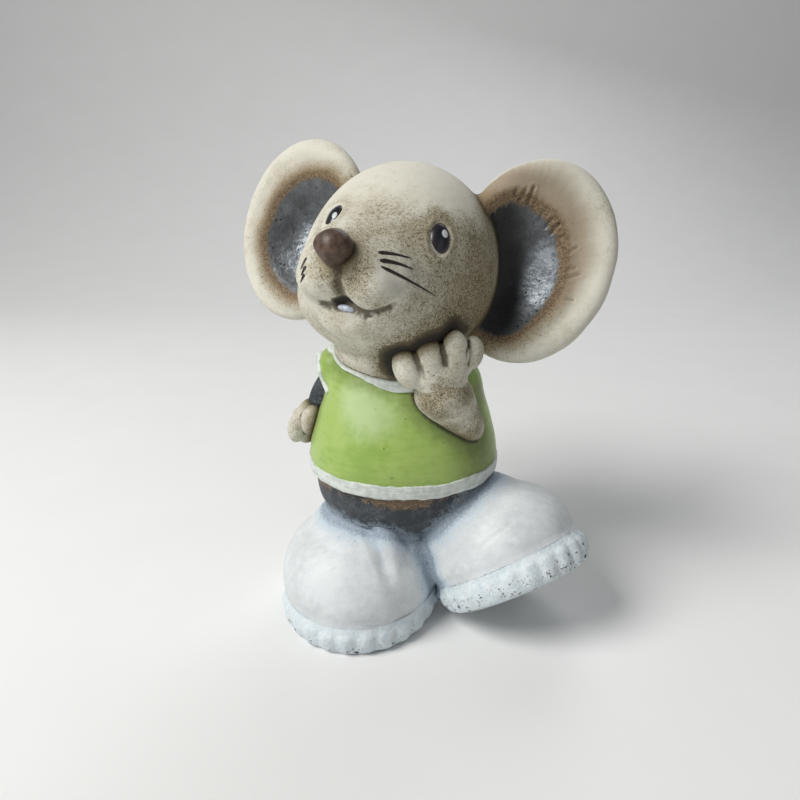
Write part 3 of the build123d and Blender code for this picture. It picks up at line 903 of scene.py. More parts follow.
# Nose, a pressed bead that comes to a soft point below
nose_place = face_spot(-0.8, 41.6, -0.3)
nose = bead("nose", 0.2, 6, nose_place, 4.8, 4.4, 4.3)
told = local(nose.points, nose_place)
point = ease(-told[:, 2], 0.5, 4.6) * hill(told[:, 0], 4.6)
nose.shift(point, toward(nose_place, 0, 0, -0.75))
narrow = -0.20 * told[:, 0] * ease(-told[:, 2], 0.5, 4.6) - 0.35 * ease(-told[:, 0], 2.0, 4.8)
nose.shift(narrow, toward(nose_place, 1, 0, 0))
nose.press(0.12 * ripple(nose.points, 5.0, 3))

# Tooth in the mouth
tooth_corners = ((338, 307.8), (352, 308.6))
mouth_seat = np.mean([on_skin(head_sight, px, py) for px, py in tooth_corners], axis=0)
tooth_seat = Vector(mouth_seat + toward(head_place, 0, 1, 0))
tooth_place = Matrix.Translation(tooth_seat) @ head_place.to_3x3().to_4x4()
tooth = bead("tooth", 0.15, 4, tooth_place, 2.6, 1.3, 0.95)

# Ears: a turned dish with a thick rolled rim, narrowed to an oval and scooped by hand
ear_profile = (
    (0.0, -3.4),
    (8.0, -3.3),
    (15.0, -2.6),
    (20.5, -1.2),
    (24.6, -0.1),
    (26.7, 0.0),
    (28.7, -0.7),
    (29.8, -2.2),
    (30.0, -3.7),
    (29.4, -5.2),
    (27.9, -6.3),
    (26.0, -6.8),
    (20.0, -8.3),
    (12.0, -10.2),
    (5.0, -11.2),
    (0.0, -11.4),
)


def ear(name, place, scoop, frill_share, frill_toward, sheen_share, sheen_at):
    scoop_across, scoop_rise, scoop_half_width, scoop_half_height, scoop_depth = scoop
    lumps = bmesh.new()
    rim = [lumps.verts.new((across, 0, height)) for across, height in ear_profile]
    edges = [lumps.edges.new(pair) for pair in zip(rim, rim[1:])]
    bmesh.ops.spin(
        lumps, geom=rim + edges, cent=(0, 0, 0), axis=(0, 0, 1), angle=2 * pi, steps=96, use_merge=True
    )
    bmesh.ops.remove_doubles(lumps, verts=lumps.verts[:], dist=0.01)
    bmesh.ops.recalc_face_normals(lumps, faces=lumps.faces[:])
    bmesh.ops.scale(lumps, vec=(0.8, 1, 1), verts=lumps.verts[:])
    bmesh.ops.transform(lumps, matrix=place, verts=lumps.verts[:])
    clay = Clay(name, lumps, 0.45, 24)
    told = local(clay.points, place)
    front = toward(place, 0, 0, 1)
    facing = ease(clay.normals @ front, 0.1, 0.6)
    across = (told[:, 0] - scoop_across) / scoop_half_width
    rise = (told[:, 1] - scoop_rise) / scoop_half_height
    reach = np.hypot(across, rise)
    reach = reach + 0.035 * ripple(clay.points, 16, 5)
    scoop = -scoop_depth * fall(reach, 0.30, 1.08) + 0.55 * hill(reach - 1.18, 0.22)
    scoop = scoop + 0.25 * ripple(clay.points, 9, 8) * fall(reach, 0.8, 1.1)
    clay.shift(scoop * facing, front)
    clay.press(0.16 * ripple(clay.points, 13, 11))
    clay.bowl = np.where(facing > 0.05, reach + 0.6 * (1 - facing), 3.0)
    angle = np.arctan2(rise, across)
    clay.ray = np.stack([np.cos(angle), np.sin(angle), reach * 0.10], 1)
    clay.frill = frill_share * ease(np.cos(angle - radians(frill_toward)), -0.2, 0.6)
    # Where the painted highlight lies on the bowl
    sheen_across, sheen_rise, sheen_half_width, sheen_half_height = sheen_at
    sheen_away = np.hypot(
        (told[:, 0] - sheen_across) / sheen_half_width,
        (told[:, 1] - sheen_rise) / sheen_half_height,
    )
    clay.sheen = sheen_share * fall(sheen_away, 0.35, 1.1)
    clay.crease = np.zeros(len(clay.points))
    return clay


left_ear_place = face_spot(37.2, -6.0, 10.2) @ turn(22, "Z") @ turn(90, "X") @ turn(-6, "Z")
right_ear_place = face_spot(-41.8, -4.5, 6.2) @ turn(-4, "Z") @ turn(90, "X")
left_scoop = (-6.5, -4.5, 15.0, 19.0, 4.8)
left_sheen = (4.0, -2.0, 8.5, 15.0)
left_ear = ear("left_ear", left_ear_place, left_scoop, 1.0, 75, 1.0, left_sheen)
left_ear.shade_share = 1.0
ear_sight = left_ear.tree()
press = np.zeros(len(left_ear.points))
ear_scratches = (
    ((521, 199), (526, 189), 0.5),
    ((527, 203), (534, 187), 0.8),
    ((514, 196), (517, 189), 0.5),
    ((538, 222), (543, 212), 0.4),
    ((545, 228), (552, 219), 0.7),
    ((551, 234), (559, 224), 0.7),
    ((557, 242), (563, 236), 0.35),
    ((565, 256), (577, 247), 0.35),
    ((568, 270), (575, 268), 0.4),
    ((567, 279), (580, 274), 0.3),
    ((566, 299), (573, 300), 0.35),
)
for start, end, depth in ear_scratches:
    away, _ = from_line(left_ear.points, ear_sight, (start, end))
    press += depth * (0.25 * hill(away - 0.9, 0.8) - 0.6 * hill(away, 0.9))
    left_ear.crease = np.maximum(left_ear.crease, (0.25 + depth) * hill(away, 0.95))
left_ear.press(press)
right_scoop = (3.0, -1.5, 16.0, 19.0, 4.6)
right_sheen = (6.0, -6.0, 10.0, 17.0)
right_ear = ear("right_ear", right_ear_place, right_scoop, 0.15, 120, 0.9, right_sheen)
right_ear.shade_share = 0.10
# Painted highlight: gleams on the bowl of the right ear
gleams = ((303, 262, 13, 0.9), (311, 230, 10, 0.7))
right_ear.sheen = np.maximum(right_ear.sheen, smudges(right_ear.points, right_ear.tree(), gleams))
work_together(head, left_ear, 5.0, 50 / coarse)
work_together(head, right_ear, 5.0, 50 / coarse)

# Shirt, a bell with a low right shoulder
hem_height = 50.0
shirt_width = 61.0
shirt_depth = 55.0
shirt_rise = 42.5
shirt_rows = (
    (0.00, 1.000, 1.000, 0.018),
    (0.17, 1.000, 1.000, 0.018),
    (0.38, 0.930, 0.925, 0.020),
    (0.57, 0.840, 0.840, 0.024),
    (0.76, 0.765, 0.750, 0.024),
    (0.89, 0.640, 0.650, 0.012),
    (1.00, 0.480, 0.500, 0.000),
)
lumps = bmesh.new()
shirt_rings = []
for rise, wide, deep, shift in eased_rows(shirt_rows, 24):
    place = spot(shift * shirt_width, 0, hem_height + rise * shirt_rise)
    shirt_rings.append((place, wide * shirt_width / 2, deep * shirt_depth / 2))
roll(lumps, shirt_rings, 96)
ball(lumps, spot(-19.8, 1.5, 79.8), 6.6, 8.4, 6.6)
shirt = Clay("shirt", lumps, 0.55, 14)

# Left forearm, a wedge across the chest, and the fist under the cheek
finger_length = 13.0
finger_width = 7.4


def fingers(lumps, hand_place, tip, rows):
    for across, back, rise, wide, long, lean in rows:
        knuckle = hand_place @ move(across * finger_length, back * finger_length, rise * finger_length)
        knuckle = knuckle @ turn(-tip, "X") @ turn(lean * 24, "Y")
        ball(lumps, knuckle, wide * finger_width / 2, wide * finger_width / 2, long * finger_length / 2)


forearm_middle = spot(16.2, -20.0, 75.8)
forearm_place = forearm_middle @ turn(-55, "Z") @ turn(40, "X")
forearm_rows = (
    (-1.00, 0.32),
    (-0.84, 0.53),
    (-0.45, 0.76),
    (0.00, 0.96),
    (0.45, 1.14),
    (0.76, 1.14),
    (1.00, 0.82),
)
forearm_half_length = 13.6
forearm_radius = 7.0
lumps = bmesh.new()
forearm_rings = []
for along, thick in eased_rows(forearm_rows, 24):
    half = thick * forearm_radius
    forearm_rings.append((forearm_place @ move(0, 0, along * forearm_half_length), half, half))
roll(lumps, forearm_rings)
left_forearm = Clay("left_forearm", lumps, 0.3, 30)

fist_place = forearm_middle @ move(-5.4, -5.0, 12.4)
lumps = bmesh.new()
ball(lumps, fist_place, 8.4, 6.0, 6.4)
fingers(
    lumps,
    fist_place,
    10,
    (
        (-0.64, -0.06, 0.13, 1.22, 0.96, -0.85),
        (-0.20, -0.12, 0.29, 1.24, 1.04, -0.30),
        (0.29, -0.08, 0.43, 1.16, 1.02, 0.10),
        (0.70, 0.20, 0.38, 0.92, 0.74, 0.30),
    ),
)
left_fist = Clay("left_fist", lumps, 0.26, 10)
fist_sight = left_fist.tree()
press = np.zeros(len(left_fist.points))
left_fist.crease = np.zeros(len(left_fist.points))
finger_grooves = (
    (((414, 350), (417, 360), (421, 371), (427, 382)), 0.55, 1.7),
    (((441, 341), (444, 353), (447, 366), (448, 374)), 0.55, 1.7),
    (((467, 340), (468, 351), (466, 366)), 0.5, 1.6),
)
for path, depth, width in finger_grooves:
    away, along = from_line(left_fist.points, fist_sight, path)
    press -= depth * hill(away, width) * (1 - 0.8 * ease(along, 0.6, 1.0))
    groove = 0.9 * hill(away, 1.1 * width) * (1 - 0.7 * ease(along, 0.5, 1.0))
    left_fist.crease = np.maximum(left_fist.crease, groove)
left_fist.press(press)
left_fist.put(left_fist.rubbed(2))
work_together(left_fist, left_forearm, 4.0, 160 / coarse**2)

# Right arm hanging, with the hand on the hip
right_arm = bead("right_arm", 0.3, 8, spot(-23.2, 3.8, 74.2) @ turn(32, "Y"), 5.0, 5.0, 11.0)
palm_place = spot(-30.6, 3.4, 62.8) @ turn(12, "Y")
lumps = bmesh.new()
ball(lumps, palm_place, 4.6, 4.6, 8.0)
fingers(
    lumps,
    palm_place,
    0,
    (
        (0.10, -0.31, 0.17, 0.94, 0.80, 0),
        (-0.22, -0.15, -0.16, 0.92, 0.84, 0),
        (-0.22, 0.24, -0.12, 0.84, 0.80, 0),
    ),
)
right_hand = Clay("right_hand", lumps, 0.26, 9)

# Hips, a bowl of dark cloth under the hem
hips_width = 58.4
hips_depth = 52.0
hips_drop = 22.5
hips_rows = (
    (0.00, 0.985, 0.990),
    (0.28, 0.985, 0.980),
    (0.62, 0.905, 0.880),
    (0.88, 0.680, 0.640),
    (1.00, 0.420, 0.380),
)
lumps = bmesh.new()
hips_rings = []
for drop, wide, deep in eased_rows(hips_rows, 16):
    place = spot(0.018 * hips_width, 0, hem_height + 1.5 - drop * hips_drop)
    hips_rings.append((place, wide * hips_width / 2, deep * hips_depth / 2))
roll(lumps, hips_rings, 96)
hips = Clay("hips", lumps, 0.6, 16)

# Shoes: a dome on a thick sole with soft lobes all round
shoe_length = 58.5
shoe_width = 53.0
sole_thickness = 9.5
dome_halves = (26.2, 28.15, 19.7)
dome_middle = 14.5
dome_bottom = 9.2
lobe_count = 25
sole_rows = ((0.0, 0.915), (0.10, 0.962), (0.30, 0.995), (0.60, 1.0), (0.85, 0.985), (1.0, 0.93))


def sole(name, place, share=1.0):
    lumps = bmesh.new()
    rows = []
    for rise, spread in eased_rows(sole_rows, 12):
        half = spread * share / 2
        rows.append((place @ move(0, 0, rise * sole_thickness), half * shoe_width, half * shoe_length))
    roll(lumps, rows, 200)
    clay = Clay(name, lumps, 0.5, 6)
    told = local(clay.points, place)
    angle = np.arctan2(told[:, 1] / shoe_length, told[:, 0] / shoe_width)
    out = np.hypot(told[:, 0] / shoe_width, told[:, 1] / shoe_length) * 2 / share
    side = ease(out, 0.88, 0.96)
    wander = 0.35 * ripple(np.stack([np.cos(angle), np.sin(angle), 0 * angle], 1), 1.3, 21)
    wave = np.abs(np.cos(lobe_count * angle / 2 + wander))
    lobe = -1.15 * (1 - np.sqrt(wave)) * side
    lump = 0.22 * ripple(clay.points, 5.5, 17) * side
    flat = ease(told[:, 2], 0.0, 0.9)
    clay.press((1.15 * lobe + lump - 0.15 * side) * flat)
    clay.put(clay.rubbed(12 / coarse**2))
    return clay


def dome(name, place, share=1.0):
    lumps = bmesh.new()
    half_width, half_length, half_height = dome_halves
    middle = place @ move(0, 0.8 * share, dome_middle)
    ball(lumps, middle, half_width * share, half_length * share, half_height)
    cut(lumps, place @ Vector((0, 0, dome_bottom)), toward(place, 0, 0, -1))
    rim = [edge for edge in lumps.edges if edge.is_boundary]
    bmesh.ops.contextual_create(lumps, geom=rim)
    bmesh.ops.recalc_face_normals(lumps, faces=lumps.faces[:])
    return Clay(name, lumps, 0.5, 8)


right_shoe_place = spot(-13.6, -8.0, 0) @ turn(-9, "Z")
left_shoe_place = spot(39.0, -18.6, 14.4) @ turn(45, "Z") @ turn(-38.5, "X") @ turn(3, "Y")
right_sole = sole("right_sole", right_shoe_place)
left_sole = sole("left_sole", left_shoe_place, 0.92)
right_shoe = dome("right_shoe", right_shoe_place)
left_shoe = dome("left_shoe", left_shoe_place, 0.92)

for shoe, climb in ((right_shoe, 4.2), (left_shoe, 3.8)):
    shoe.press(climb * fall(gaps(shoe.points, [hips.tree()], 11.0), 0.0, 11.0))
instep_lump = ((388, 533, 11.0, 1.8),)
right_shoe.press(smudges(right_shoe.points, right_shoe.tree(), instep_lump))
for first, second in ((right_sole, left_sole), (left_sole, right_sole)):
    first.press(1.6 * fall(gaps(first.points, [second.tree()], 6.0), 0.5, 6.0))
for first, second, reach, times in (
    (right_shoe, left_shoe, 5.0, 160),
    (right_sole, left_sole, 4.0, 100),
    (right_shoe, right_sole, 4.0, 110),
    (left_shoe, left_sole, 4.0, 110),
    (hips, right_shoe, 2.6, 50),
    (hips, left_shoe, 2.6, 50),
):
    work_together(first, second, reach, times / coarse**2)

# Folds of the shoes, pressed in from the ankle
right_sight = right_shoe.tree()
left_sight = left_shoe.tree()
press = np.zeros(len(right_shoe.points))
shoe_folds = (
    (((366, 524), (374, 540), (382, 560), (389, 578), (392, 592)), 1.2, 3.6),
    (((392, 524), (402, 532), (410, 543), (416, 556)), 1.1, 3.2),
)
for path, depth, width in shoe_folds:
    away, along = from_line(right_shoe.points, right_sight, path)
    press += -depth * hill(away, width) * (1 - ease(along, 0.55, 1.0) * 0.8)
ridge = ((378, 526), (389, 542), (397, 560), (402, 578))
away, along = from_line(right_shoe.points, right_sight, ridge)
press += 1.3 * hill(away, 5.0) * fall(along, 0.5, 1.0)
right_shoe.press(press + 0.18 * ripple(right_shoe.points, 15, 31))
scratch = ((484, 545), (492, 538), (503, 530), (512, 522))
away, _ = from_line(left_shoe.points, left_sight, scratch)
left_shoe.press(0.18 * ripple(left_shoe.points, 15, 37) - 0.14 * hill(away, 1.1))
# nothing reaches under the floor
for clay in (right_shoe, left_shoe, right_sole, left_sole):
    clay.put(np.maximum(clay.points, [-1e3, -1e3, 0.0]))

# Legs, between the hips and the shoes
right_leg = bead("right_leg", 0.5, 6, spot(-12.0, 8.0, 29.0), 12.0, 12.0, 15.0)
left_leg = bead("left_leg", 0.5, 6, spot(16.5, -1.0, 27.0) @ turn(-24, "Y"), 12.0, 12.0, 17.0)

# Tail, laid up the back
tail_rows = (
    (0.00, 0.00, 0.75, 1.00),
    (0.20, 0.55, 0.86, 1.00),
    (0.40, 0.92, 0.95, 0.95),
    (0.60, 1.00, 1.00, 0.86),
    (0.80, 0.70, 0.99, 0.70),
    (1.00, 0.20, 0.95, 0.45),
)
lumps = bmesh.new()
tail_radius = 2.8
tail_rings = []
for climb, sway, behind, thick in eased_rows(tail_rows, 24):
    half = thick * tail_radius
    tail_rings.append((spot(5.0 + sway * 5.0, behind * 29.7, 36.0 + climb * 24.0), half, half))
roll(lumps, tail_rings, 32)
ball(lumps, tail_rings[-1][0], 1.25, 1.25, 1.25)
tail = Clay("tail", lumps, 0.3, 8)

# Painted trim, laid on the shirt as thin strips
strip_thickness = 1.2


def strip(name, planes, proud):
    """A strip of the shirt's own skin between planes, with a little thickness."""
    lumps = bmesh.new()
    lumps.from_mesh(shirt.piece.data)
    for point, normal in planes:
        cut(lumps, point, normal)
    lumps.normal_update()
    for vert in lumps.verts:
        vert.co += vert.normal * (proud - strip_thickness)
    bmesh.ops.solidify(lumps, geom=lumps.faces[:], thickness=-strip_thickness)
    bmesh.ops.recalc_face_normals(lumps, faces=lumps.faces[:])
    clay = Clay(name, lumps, 0.22, 10)
    wander = 0.30 * ripple(clay.points, 11, 61) + 0.12 * ripple(clay.points, 4, 67)
    clay.shift(wander, planes[-1][1])
    return clay


hem_low = Vector(spot(0, 0, hem_height + 0.1).translation)
hem_high = Vector(spot(0, 0, hem_height + 4.2).translation)
shirt_hem = strip("shirt_hem", ((hem_low, (0, 0, -1)), (hem_high, (0, 0, 1))), 0.55)
collar_place = spot(0.85, 0, 85.6) @ turn(12.5, "X")
collar_up = collar_place.to_3x3() @ Vector((0, 0, 1))
collar_band = strip(
    "collar_band",
    (
        (collar_place.translation, -collar_up),
        (collar_place.translation + 3.0 * collar_up, collar_up),
    ),
    0.7,
)
band_place = spot(-23.0, 3.4, 79.2) @ turn(-112, "Y") @ turn(20, "X")
band_width = 2.2
band_radius = 5.1
band_rings = []
for rise, reach in ((0, 0.3), (0.15, 0.9), (0.5, 1.05), (0.85, 0.9), (1, 0.3)):
    half = band_radius + reach * 0.6
    band_rings.append((band_place @ move(0, 0, rise * band_width), half, half))
lumps = bmesh.new()
roll(lumps, band_rings)
# the front of the trim, along the edge of the shoulder
shoulder_halves = (0.8, 0.8, 0.8)
shirt_sight = shirt.tree()
shoulder_edge = ((321, 364), (319.5, 371), (321, 379), (324.5, 387), (328, 394))
edge = np.array([on_skin(shirt_sight, px, py) for px, py in shoulder_edge])
for share in np.linspace(0, len(edge) - 1.001, 40):
    before = int(share)
    middle = edge[before] + (share - before) * (edge[before + 1] - edge[before])
    ball(lumps, Matrix.Translation(middle), *shoulder_halves)
armhole_band = Clay("armhole_band", lumps, 0.22, 4)

# The neckline stands higher on the side of the hanging arm
for clay in (shirt, collar_band, armhole_band):
    raised = ease(clay.points[:, 2], 71.0, 84.0) * ease(-clay.points[:, 0], 4.0, 18.0)
    raised = 2.8 * raised * fall(clay.points[:, 1], 2.0, 14.0)
    clay.shift(raised, (0, 0, 1))

# Whiskers, single strokes of a fine brush
lumps = bmesh.new()
head_sight = head.tree()
whisker_strokes = (
    ((378.0, 252.5), (394, 254.0), (411.5, 258.5), 0.62),
    ((379.5, 260.5), (396, 263.0), (413.5, 269.5), 0.64),
    ((381.0, 266.5), (407, 279.5), (435.5, 296.0), 0.46),
    ((306.5, 257.5), (303.5, 263.5), (300.5, 269.5), 0.60),
    ((305.5, 266.0), (303.5, 270.5), (301.0, 275.5), 0.60),
    ((304.5, 274.0), (302.5, 278.0), (300.5, 282.5), 0.52),
)
for start, middle, end, width in whisker_strokes:
    start, middle, end = np.array(start), np.array(middle), np.array(end)
    bend = 2 * middle - 0.5 * start - 0.5 * end
    rings = []
    for share in np.linspace(0, 1, 22):
        px, py = (1 - share) ** 2 * start + 2 * share * (1 - share) * bend + share**2 * end
        hit, normal, _, _ = head_sight.ray_cast(eye_point, sight(px, py))
        if hit is None:
            continue
        rings.append((hit, normal, width * min(1, 5 * share + 0.35) * (1 - share) ** 0.6 + 0.05))
    if len(rings) < 3:
        continue
    places = []
    for number, (hit, normal, half) in enumerate(rings):
        after = rings[min(number + 1, len(rings) - 1)][0]
        before = rings[max(number - 1, 0)][0]
        along = (after - before).normalized()
        across = along.cross(normal).normalized()
        above = across.cross(along).normalized()
        place = Matrix((across, above, along)).transposed().to_4x4()
        place.translation = hit
        places.append((place, half, 0.10 + 0.2 * half))
    roll(lumps, places, 12)
whiskers_mesh = bpy.data.meshes.new("whiskers")
lumps.to_mesh(whiskers_mesh)
lumps.free()

# What the paint reads: hollows, nearness of the neighbours, and the given wash with its painted shade and
# sheen
neighbours = {
    head: (left_ear, right_ear, left_fist, left_forearm, nose),
    left_ear: (head,),
    right_ear: (head,),
    nose: (head,),
    tooth: (head,),
    shirt: (left_forearm, left_fist, head, right_arm, right_hand),
    shirt_hem: (hips,),
    collar_band: (head, left_fist, left_forearm),
    armhole_band: (right_arm,),
    left_forearm: (shirt, head),
    left_fist: (head, shirt, left_ear),
    right_arm: (shirt, right_hand, armhole_band),
    right_hand: (shirt, right_arm, shirt_hem),
    hips: (shirt_hem, right_shoe, left_shoe, right_leg, left_leg, tail),
    right_leg: (hips, right_shoe, left_shoe),
    left_leg: (hips, right_shoe, left_shoe),
    right_shoe: (hips,),
    left_shoe: (hips, shirt_hem),
    right_sole: (left_sole, left_shoe),
    left_sole: (right_sole, right_shoe),
    tail: (hips, shirt_hem, shirt),
}
trees = {clay: clay.tree() for clay in neighbours}
far = 12.0
for clay, others in neighbours.items():
    clay.near = gaps(clay.points, [trees[other] for other in others], far)
    clay.keep("near", clay.near)
    clay.keep("hollow", clay.hollows(1.6))
for clay, *_ in eyes.values():
    clay.keep("near", gaps(clay.points, [trees[head]], far))

told = local(head.points, head_place)
wash_and_painted_light = np.full(len(head.points), 0.12)
for _, place, *_ in eyes.values():
    seen = local(head.points, place)
    ring = np.linalg.norm(seen / (eye_halves[0], 6, eye_halves[2]), axis=1)
    wash_and_painted_light += 0.35 * fall(ring, 1.1, 2.2) * ease(ring, 1.0, 1.08)
# Painted shade over the brown wash: darker low on the head, on its sides and near the ears and the fist,
# and paler on top
wash_and_painted_light += 0.30 * ease(-told[:, 2], 4.0, 24.0)
wash_and_painted_light += 0.55 * ease(np.abs(told[:, 0]), 16.0, 28.0)
wash_and_painted_light += 0.65 * fall(head.near, 1.5, 10.0)
wash_and_painted_light -= 0.35 * ease(told[:, 2], 10.0, 22.0)
# Marks of brown wash, and of painted shade on the side of the head, paler where negative
brown = (
    (392, 216, 14, 0.40),
    (405, 240, 13, 0.25),
    (360, 232, 9, 0.20),
    (441, 217, 5, 0.40),
    (418, 212, 12, 0.25),
    (466, 222, 14, 0.40),
    (478, 285, 20, 0.55),
    (425, 275, 18, 0.40),
    (352, 285, 9, 0.35),
    (345, 335, 14, -0.20),
    (400, 322, 13, 0.22),
    (362, 282, 6, 0.25),
    (381, 305, 5, 0.45),
    (450, 260, 10, -0.15),
    (385, 284, 8, -0.15),
)
wash_and_painted_light += smudges(head.points, trees[head], brown)
head.keep("wash_and_painted_light", np.clip(wash_and_painted_light + 0.12 * ripple(head.points, 14, 41), 0, 1.4))
# Painted shadow under the fist, and painted shade where the head sinks into the collar
under_fist_shadow = 2.1 * fall(gaps(head.points, [trees[left_fist]], far), 0.6, 6.0)
collar_shade = 0.9 * fall(gaps(head.points, [trees[shirt], trees[collar_band]], far), 0.1, 1.8)
head.keep("crease", np.maximum(np.maximum(head.crease, under_fist_shadow), collar_shade))
left_fist.keep("crease", left_fist.crease)

# Painted sheen on the front of the shirt, and olive stain and painted shade on its right side, low down
# and under the fist; darker towards the back
sheen_and_shade_marks = (
    (372, 418, 17, 0.9),
    (350, 395, 12, 0.5),
    (480, 455, 22, -0.8),
    (395, 475, 20, -0.35),
    (480, 390, 9, -0.9),
    (330, 445, 12, 0.2),
)
olive_back = 0.3 * ease(shirt.points[:, 1], -6.0, 14.0)
shirt.keep("wash_and_painted_light", smudges(shirt.points, trees[shirt], sheen_and_shade_marks) - olive_back)

# Marks of brown wash and painted shade about the wrist and on the right side of the forearm
wrist = (
    (443, 391, 6, 0.7),
    (468, 393, 6, 0.7),
    (428, 398, 5, 0.5),
    (440, 415, 6, 0.5),
    (452, 427, 5, 0.5),
    (425, 406, 5, 0.5),
    (480, 412, 6, 0.6),
    (474, 433, 5, 0.5),
)
for clay, level, marks in (
    (left_fist, 0.26, wrist),
    (left_forearm, 0.42, wrist),
    (right_hand, 0.3, ()),
    (tail, 0.35, ()),
):
    # Darker near the neighbouring pieces: brown wash and painted shade
    level = level + 0.45 * fall(clay.near, 0.5, 4.0) + smudges(clay.points, trees[clay], marks)
    clay.keep("wash_and_painted_light", np.clip(level + 0.1 * ripple(clay.points, 8, 43), 0, 1.2))
# Stain and painted shade in the corner between the fist, the ear and the shoulder
shade_under_ear = ((478, 368, 7, 0.6), (484, 385, 6, 0.3))
shirt.keep("crease", smudges(shirt.points, trees[shirt], shade_under_ear))
pale_at_root = (
    (500, 184, 11, -0.45),
    (530, 165, 12, -0.25),
    (547, 203, 7, -0.25),
    (587, 273, 7, -0.30),
    (600, 200, 10, 0.20),
)
for clay, marks in ((left_ear, pale_at_root), (right_ear, ())):
    # Brown wash and painted shade near the head, and the brown ring round the bowl
    level = 0.06 + 0.8 * fall(clay.near, 1.0, 10.0) + smudges(clay.points, trees[clay], marks)
    level += 0.75 * fall(clay.bowl, 1.05, 1.45) * (clay.bowl < 2.9)
    clay.keep("wash_and_painted_light", np.clip(level, -0.1, 1.2))
    for name in ("crease", "bowl", "ray", "frill", "sheen"):
        clay.keep(name, getattr(clay, name))
    # Painted shade in the bowl, falling off away from the head
    clay.keep("shade", clay.shade_share * fall(clay.near, 3.0, 15.0))

rusty = ((400, 500, 12, 0.45), (425, 498, 9, 0.35), (325, 480, 8, 0.4))
under_hem = ease(hips.points[:, 2], 42.5, 48.5)
rust = 0.70 + 0.3 * ripple(hips.points, 20, 47) + smudges(hips.points, trees[hips], rusty)
hips.keep("wash_and_painted_light", under_hem * rust)
over_shoes = gaps(hips.points, [trees[right_shoe], trees[left_shoe]], far)
hips.keep("dust", 1.1 * fall(over_shoes, 0.0, 6.5))
for clay in (right_leg, left_leg, right_arm):
    clay.keep("wash_and_painted_light", np.zeros(len(clay.points)))
    clay.keep("dust", 0.4 * fall(clay.near, 0.5, 4.0))
for clay, other, place in (
    (right_shoe, left_shoe, right_shoe_place),
    (left_shoe, right_shoe, left_shoe_place),
):
    # Blue mist and painted shade: heaviest close to the other shoe and the hips, towards the back and low
    # on the dome
    told = local(clay.points, place)
    close = np.minimum(clay.near, gaps(clay.points, [trees[other]], far))
    mist_and_shade = 1.1 * fall(close, 0.5, 12.0) + 0.4 * ease(told[:, 1], 2.0, 24.0)
    mist_and_shade += 0.45 * fall(told[:, 2], 9.5, 15.0) + 0.5 * fall(close, 0.3, 4.5)
    clay.keep("wash_and_painted_light", np.clip(mist_and_shade + 0.10 * ripple(clay.points, 12, 53), 0, 1.35))
for clay, place in ((right_sole, right_shoe_place), (left_sole, left_shoe_place)):
    told = local(clay.points, place)
    # Blue mist and painted shade near the other sole
    mist_and_shade = 0.25 + 0.6 * fall(clay.near, 0.5, 5.0) + 0.15 * ripple(clay.points, 9, 59)
    clay.keep("wash_and_painted_light", np.clip(mist_and_shade, 0, 1.3))
    clay.keep("low", fall(told[:, 2], 1.0, 8.5))

for clay, place, glint_at, wide, high in eyes.values():
    sightline = clay.tree()
    hit = sightline.ray_cast(eye_point, sight(*glint_at))[0]
    if hit is None:
        hit = sightline.find_nearest(place @ Vector((0, -2.4, 1.8)))[0]
    seen = local(clay.points, place) - local(np.array([hit]), place)
    clay.keep("glint", np.linalg.norm(seen / (wide, 1.4, high), axis=1))

# Finished pieces
clay_paint = bisque_finish("bisque_clay")
for slot, paint, pieces in (
    ("bisque", clay_paint, (head,)),
    ("ear", ear_finish(), (left_ear, right_ear)),
    ("nose", nose_finish(), (nose,)),
    ("tooth", tooth_finish(), (tooth,)),
    ("eye", eye_finish(), [clay for clay, *_ in eyes.values()]),
    ("shirt", shirt_finish(), (shirt,)),
    ("trim", trim_finish(), (shirt_hem, collar_band, armhole_band)),
    ("bisque", clay_paint, (left_forearm, left_fist, right_hand, tail)),
    ("trousers", trousers_finish(), (right_arm, hips, right_leg, left_leg)),
    ("shoe", shoe_finish("shoe_white", False), (right_shoe, left_shoe)),
    ("sole", shoe_finish("sole_white", True), (right_sole, left_sole)),
):
    for clay in pieces:
        finish(clay, paint)

whiskers_mesh.transform(Matrix.Scale(millimetre, 4))
whiskers_mesh.polygons.foreach_set("use_smooth", [True] * len(whiskers_mesh.polygons))
whiskers_mesh.materials.append(stroke_finish())
whiskers = bpy.data.objects.new("whiskers", whiskers_mesh)
bpy.context.scene.collection.objects.link(whiskers)
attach(whiskers, "root")

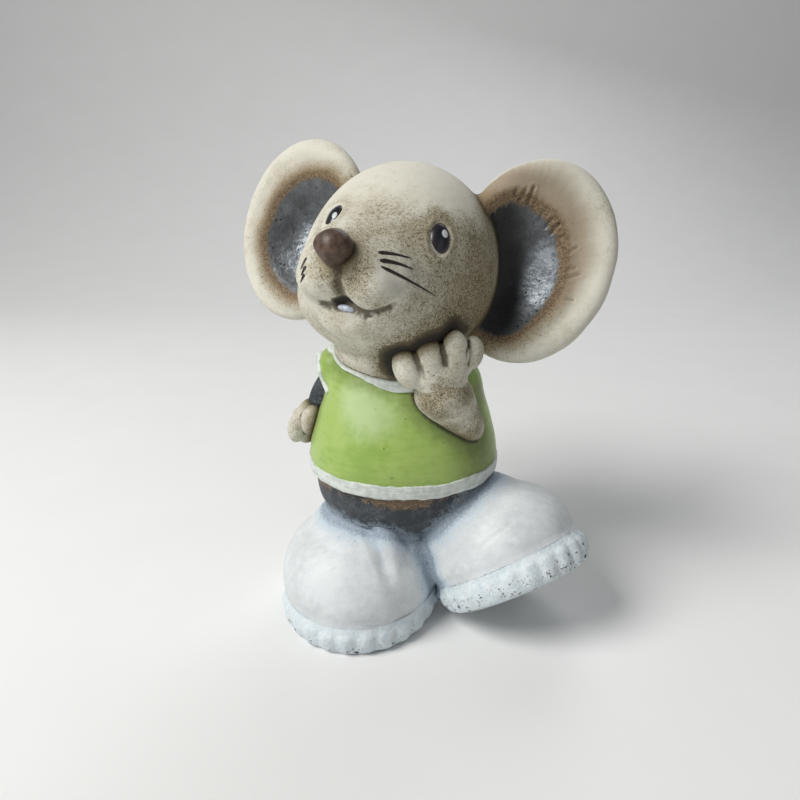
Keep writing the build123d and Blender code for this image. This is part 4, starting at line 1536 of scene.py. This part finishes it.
# Pale floor that rises behind the figurine, in metres
floor_half_width = 3.0
floor_front = -1.6
floor_back = 0.5
rise_radius = 0.6
rise_steps = 16
wall_top = 2.6
lumps = bmesh.new()
outline = [lumps.verts.new((-floor_half_width, back, 0)) for back in (floor_front, floor_back)]
for step in range(1, rise_steps + 1):
    angle = step / rise_steps * pi / 2
    back = floor_back + rise_radius * sin(angle)
    outline.append(lumps.verts.new((-floor_half_width, back, rise_radius * (1 - cos(angle)))))
outline.append(lumps.verts.new((-floor_half_width, floor_back + rise_radius, wall_top)))
lines = [lumps.edges.new(pair) for pair in zip(outline, outline[1:])]
swept = bmesh.ops.extrude_edge_only(lumps, edges=lines)
far_side = [item for item in swept["geom"] if isinstance(item, bmesh.types.BMVert)]
bmesh.ops.translate(lumps, vec=(2 * floor_half_width, 0, 0), verts=far_side)
bmesh.ops.recalc_face_normals(lumps, faces=lumps.faces[:])
for face in lumps.faces:
    face.smooth = True
floor_mesh = bpy.data.meshes.new("floor")
lumps.to_mesh(floor_mesh)
lumps.free()
floor_paint = Paint("pale_floor", roughness=0.75, specular=0.2)
floor_paint.body = floor_paint.mixed(floor_dull, floor_pale, floor_paint.clouds(40, 3))
floor_mesh.materials.append(floor_paint.lay())
floor = bpy.data.objects.new("floor", floor_mesh)
bpy.context.scene.collection.objects.link(floor)

# Soft studio light, mostly from above on the figurine's right
def soft_light(name, place, size, power, tone):
    data = bpy.data.lights.new(name, "AREA")
    data.shape = "DISK"
    data.size = size
    data.energy = power
    data.color = tone
    light = bpy.data.objects.new(name, data)
    light.location = place
    light.rotation_euler = (Vector((0, 0, 0.07)) - Vector(place)).to_track_quat("-Z", "Y").to_euler()
    bpy.context.scene.collection.objects.link(light)


soft_light("window", (-0.62, -0.36, 0.78), 0.50, 9.5, (1.0, 0.99, 0.97))
soft_light("bounce", (0.75, -0.75, 0.45), 0.8, 0.5, (1.0, 0.98, 0.95))
soft_light("back", (0.25, 0.65, 0.75), 0.6, 2.0, (0.97, 0.98, 1.0))
world = bpy.data.worlds.new("studio")
world.use_nodes = True
world.node_tree.nodes["Background"].inputs["Color"].default_value = (0.92, 0.95, 1.0, 1)
world.node_tree.nodes["Background"].inputs["Strength"].default_value = 0.17
bpy.context.scene.world = world
bpy.context.scene.view_settings.view_transform = "Standard"
bpy.context.scene.view_settings.exposure = 0.0
